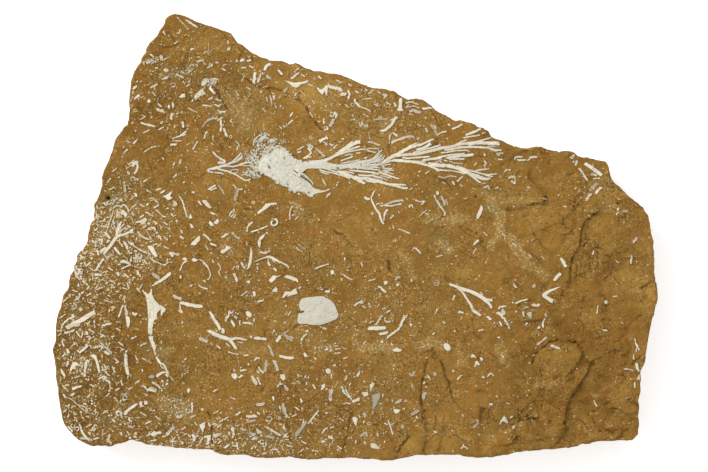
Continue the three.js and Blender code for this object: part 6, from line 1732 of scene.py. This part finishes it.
def makeMatrix():
    board = Board("ochreLimestone")
    hue = {name: stone(*screen) for name, screen in ochre.items()}
    tone, grainy, crack, side = (board.attribute(n) for n in ("tone", "grainy", "crack", "side"))
    stipple, stain = board.attribute("stipple"), board.attribute("stain")
    broad, mottle = board.noise(34, 3), board.noise(4.2, 5, 0.65)
    grain, fine = board.noise(1.0, 3, 0.65), board.noise(0.5, 2)
    clump = board.noise(9.0, 4, 0.6, warp=0.5)

    # body colour, mottled at several sizes
    rough = grainy * 1.0 + clump.step(0.42, 0.62) * 0.55 + 0.54
    value = (broad - 0.5) * 0.7 + (mottle - 0.5) * 0.6 + ((grain - 0.5) + (fine - 0.5)) * rough
    # tone brings in painted facet shade and painted shadow beside two steps, with broad tints
    value = (value + tone * 0.9 + 0.5).clamp()
    ground = board.mix(value.step(0.0, 0.55), hue["deep"], hue["middle"])
    ground = board.mix(value.step(0.5, 1.0), ground, hue["light"])
    rust = (board.noise(5.0, 4, 0.65, warp=0.6) - 0.52) * 5.0
    ground = board.mix(rust.clamp() * (grainy * 0.25 + 0.45), ground, hue["rust"])
    olive = (board.noise(8.0, 4, 0.6, warp=0.5) - 0.52) * 4.5
    ground = board.mix(olive.clamp() * (grainy * 0.35 + 0.35), ground, hue["olive"])
    ground = board.mix(grainy * 0.4, ground, hue["earth"])
    ground = board.mix(stain.clamp() * 0.65, ground, hue["yellowStain"])
    ground = board.mix((stain * -1.0).clamp() * 0.6, ground, hue["greyStain"])

    # streaks of packed shell sand, and pale wisps
    ragged = (board.noise(2.2, 4, 0.65, warp=0.4) - 0.5) * 1.6
    cloudy = (stipple * 1.5 + ragged * stipple.step(0.02, 0.3)).clamp()
    ground = board.mix(cloudy * 0.55, ground, hue["cloud"])
    packed = board.specks(0.6, cloudy * 0.7, 0, 0.3, 0.46, soft=0.06, bent=1.0)
    ground = board.mix(packed * 0.75, ground, hue["sand"])
    wisp = (board.noise(6.0, 2, 0.5, warp=0.8) - 0.5).math("ABSOLUTE")
    wisp = (1 - wisp.step(0.004, 0.02)) * board.noise(3.0, 2).step(0.52, 0.62)
    ground = board.mix(wisp * 0.5, ground, hue["wisp"])

    # pale grains, shell dust and dark spots, thick where the stone is grainy
    share = grainy * 0.6 + clump.step(0.42, 0.62) * 0.32 + 0.04
    fleck = board.specks(0.6, share, 0, 0.24, 0.4, soft=0.05, bent=1.4)
    ground = board.mix(fleck * 0.7, ground, hue["fleck"])
    bit = board.specks(1.5, grainy * 0.5 + clump * 0.45 - 0.09, 1, 0.16, 0.26, bent=1.2)
    ground = board.mix(bit * 0.85, ground, hue["bit"])
    spot = board.specks(1.0, clump * 0.4 + grainy * 0.5 - 0.02, 2, 0.2, 0.38, bent=1.2)
    ground = board.mix(spot * 0.6, ground, hue["spot"])
    hair = board.cells(17.0, feature="DISTANCE_TO_EDGE", bent=0.9)
    hair = (1 - hair.step(0.002, 0.012)) * board.noise(9.0, 2).step(0.5, 0.56)
    ground = board.mix(hair * 0.55, ground, hue["hair"])

    # broken sides: darker weathered beds with paler fresh chips and shells
    beds = board.noise(3.0, 5, 0.65, stretch=(0.3, 0.3, 1.0), warp=0.5)
    flank = board.mix(beds.step(0.3, 0.7), hue["bedDark"], hue["bedLight"])
    flank = board.mix(board.cellLots(4.0, 0, 1.2).step(0.5, 0.95) * 0.5, flank, hue["chip"])
    flank = board.mix(board.noise(7.0, 5, 0.66, warp=0.4).step(0.5, 0.7) * 0.8, flank, hue["weathered"])
    flank = board.mix((grain - 0.5) * 2.0 + 0.15, flank, hue["dusty"])
    flank = board.mix(board.specks(2.6, 0.13, 2, 0.16, 0.24, bent=2.4) * 0.8, flank, hue["shell"])
    ground = board.mix(side.step(0.05, 0.9), ground, flank)
    # the cracks' dark fill, and painted shade in cracks and pits, along the steps and under the lip
    ground = board.mix(crack * 0.92, ground, hue["crack"])

    board.set(Base_Color=ground, Roughness=(grain * 0.2 + 0.76), Specular_IOR_Level=0.16)
    height = grain * 0.7 + mottle * 1.2 + fine * 0.3 + fleck * 0.3 + bit * 0.35
    board.bumpy(height - hair * 0.6 + side * beds * 1.6, 0.9, 0.0003)
    return board.material


# screen colours of the fossils: pale from shade to light, dull, and the size of the pores in mm
fossilLooks = {
    "branchFossil": {"pale": ((214, 210, 191), (226, 223, 208), (240, 237, 222)), "dull": (178, 150, 102),
                     "poreSize": 0.55, "knobbly": 1.4},
    "frondFossil": {"pale": ((224, 216, 192), (238, 230, 208), (250, 243, 224)), "dull": (182, 152, 102),
                    "poreSize": 0.6, "knobbly": 1.0},
    "twigFossil": {"pale": ((224, 214, 188), (236, 228, 206), (248, 242, 224)), "dull": (184, 154, 102),
                   "poreSize": 0.5, "knobbly": 0.0},
    "crumbFossil": {"pale": ((220, 201, 160), (235, 220, 186), (247, 236, 210)), "dull": (190, 156, 100),
                    "poreSize": 0.5, "knobbly": 0.0},
    "plateFossil": {"pale": ((206, 201, 180), (214, 210, 192), (222, 219, 204)), "dull": (168, 146, 100),
                    "poreSize": 0.8, "knobbly": 0.0},
}
# the last tint is the dark of the seam and painted contact shade at a fossil's edge
fossilTints = {
    "bluish": (158, 152, 132), "stain": (176, 142, 88), "pore": (150, 124, 78), "rim": (92, 64, 26),
}


def makeFossil(name, pale, dull, poreSize, knobbly):
    board = Board(name)
    tint = {name: stone(*screen) for name, screen in fossilTints.items()}
    shadeTint, middle, light = (stone(*screen) for screen in pale)
    shade, tone = (board.attribute(n) for n in ("shade", "tone"))
    cloud, grain, fine = board.noise(2.4, 4, 0.6), board.noise(0.8, 3, 0.65), board.noise(0.35, 2)
    body = board.mix(cloud.step(0.3, 0.72), shadeTint, middle)
    body = board.mix((grain - 0.5).clamp() * 2.4, body, light)
    body = board.mix(tone.clamp(), body, stone(*dull))
    body = board.mix((tone * -1.0).clamp(), body, tint["bluish"])
    stain = (board.noise(1.5, 4, 0.65) - 0.6) * 3.4
    body = board.mix(stain.clamp() * 0.4, body, tint["stain"])
    pore = board.specks(poreSize, 0.34, 0, 0.1, 0.3, soft=0.05)
    body = board.mix(pore * 0.4, body, tint["pore"])
    # edge: dark seam with painted contact shade along each fossil's edge
    edge = (shade + (grain - 0.5) * 0.5 * shade.step(0.02, 0.3)).clamp()
    body = board.mix(edge * 0.92, body, tint["rim"])
    board.set(Base_Color=body, Roughness=(grain * 0.2 + 0.62), Specular_IOR_Level=0.2)
    height = cloud * 0.7 + grain * 0.6 + fine * 0.2 - pore * 0.5 - board.cells(1.1) * knobbly
    board.bumpy(height, 0.7, 0.00015)
    return board.material


# where the block's faces lie on its square map, for baking
bakeLayout = {
    "faceAt": (0.01, 0.265), "faceScale": 0.98 / 0.2114,
    "baseAt": (0.62, 0.005), "baseScale": 1.15,
    "wallAt": (0.01, 0.01), "wallRows": 4, "wallWide": 0.6, "wallStep": 0.062,
    "wallTall": 0.055, "slabTall": 0.0205,
}


def unwrapSlab(block):
    at = bakeLayout
    uvLayer = block.loops.layers.uv.new(bakeMap)
    lowX, lowY = min(v.co.x for v in block.verts), min(v.co.y for v in block.verts)
    rimLayer, sideLayer = block.verts.layers.int["rimOrder"], block.verts.layers.float["side"]
    rimCount = 2 * sum(slab["cells"])
    for f in block.faces:
        f.normal_update()
        isFace = f.normal.z > 0.0 and all(v[sideLayer] < 0.4 for v in f.verts)
        isBase = f.normal.z < -0.75 and all(v.co.z < 0.0014 for v in f.verts)
        if isFace or isBase:
            (u, w), scale = (at["faceAt"], at["faceScale"]) if isFace else (at["baseAt"], at["baseScale"])
            for loop in f.loops:
                co = loop.vert.co
                loop[uvLayer].uv = (u + (co.x - lowX) * scale, w + (co.y - lowY) * scale)
            continue
        # wall, cut into strips that lie above each other
        orders = [v[rimLayer] - 1 for v in f.verts]
        if max(orders) - min(orders) > rimCount / 2:
            orders = [o + rimCount if o < rimCount / 2 else o for o in orders]
        strip = int(min(orders) / rimCount * at["wallRows"]) % at["wallRows"]
        u, w = at["wallAt"]
        for loop, order in zip(f.loops, orders):
            along = order / rimCount * at["wallRows"] - strip
            up = loop.vert.co.z / at["slabTall"] * at["wallTall"]
            loop[uvLayer].uv = (u + at["wallWide"] * along, w + strip * at["wallStep"] + up)


def finishOf(node):
    if node == "sheet_fragment":
        return finishes["plateFossil"]
    if "_frond_" in node:
        return finishes["frondFossil"]
    return finishes["branchFossil" if node.startswith("colony_") else "twigFossil"]


matrixStone = makeMatrix()
finishes = {name: makeFossil(name, **look) for name, look in fossilLooks.items()}
print("finishes done:", 1 + len(finishes))

block = makeSlab()
faceTree = BVHTree.FromBMesh(block)
unwrapSlab(block)
finishPiece("stoneBlock", block, matrixStone, ["matrix_slab"], sharp=48)
print("block done")

dice = random.Random(seeds["fossils"])
for node, text in namedFossils.items():
    first, *rest = node.split("_")
    name = first + "".join(word.capitalize() for word in rest)
    mesh = bandsToMesh(readBands(text, dice, fine=True), pits.get(node, ()))
    finishPiece(name, mesh, finishOf(node), [node])
print("named fossils done:", len(namedFossils))

for name, text in looseFragments.items():
    finishPiece(name, bandsToMesh(readBands(text, dice)), finishes["twigFossil"])
print("loose fragments done:", len(looseFragments))

for name, zones in debris.items():
    mesh = bandsToMesh(scatterBands(zones, random.Random(seeds["debris"] + len(name))), cover=False)
    print(name, sum(len(f.verts) - 2 for f in mesh.faces), "triangles")
    finishPiece(name, mesh, finishes["crumbFossil"])

# table, light and camera
table = bmesh.new()
bmesh.ops.create_grid(table, x_segments=2, y_segments=2, size=studio["tableSize"])
tableMesh = bpy.data.meshes.new("table")
table.to_mesh(tableMesh)
table.free()
tableTop = bpy.data.objects.new("table", tableMesh)
bpy.context.collection.objects.link(tableTop)
tableBoard = Board("paleTable")
tableBoard.set(Base_Color=(*[studio["tableTone"]] * 3, 1.0), Roughness=0.9, Specular_IOR_Level=0.0,
               Emission_Color=(1.0, 1.0, 1.0, 1.0), Emission_Strength=studio["glow"])
tableMesh.materials.append(tableBoard.material)

world = bpy.data.worlds.new("studio")
bpy.context.scene.world = world
world.use_nodes = True
sky = world.node_tree.nodes["Background"]
sky.inputs["Color"].default_value = (1.0, 1.0, 1.0, 1.0)
sky.inputs["Strength"].default_value = studio["world"]

lamp = bpy.data.lights.new("softbox", "AREA")
lamp.energy, lamp.size = studio["key"], studio["keySize"]
softbox = bpy.data.objects.new("softbox", lamp)
bpy.context.collection.objects.link(softbox)
softbox.location = studio["keyAt"]
softbox.rotation_euler = (-Vector(studio["keyAt"])).to_track_quat("-Z", "Y").to_euler()

# a long lens looking straight down: width of the view at the height of the face, and the point it is over
lookDown = {
    "lens": 250.0, "sensor": 36.0, "clip": 20.0,
    "across": 0.2478, "face": 0.0194, "over": (-0.00026, 0.00044),
}
lens = bpy.data.cameras.new("lookDown")
lens.lens, lens.sensor_width = lookDown["lens"], lookDown["sensor"]
lens.clip_end = lookDown["clip"]
camera = bpy.data.objects.new("lookDown", lens)
bpy.context.collection.objects.link(camera)
reach = lookDown["lens"] * lookDown["across"] / lookDown["sensor"]
camera.location = (*lookDown["over"], lookDown["face"] + reach)
bpy.context.scene.camera = camera
bpy.context.scene.view_settings.view_transform = "Standard"
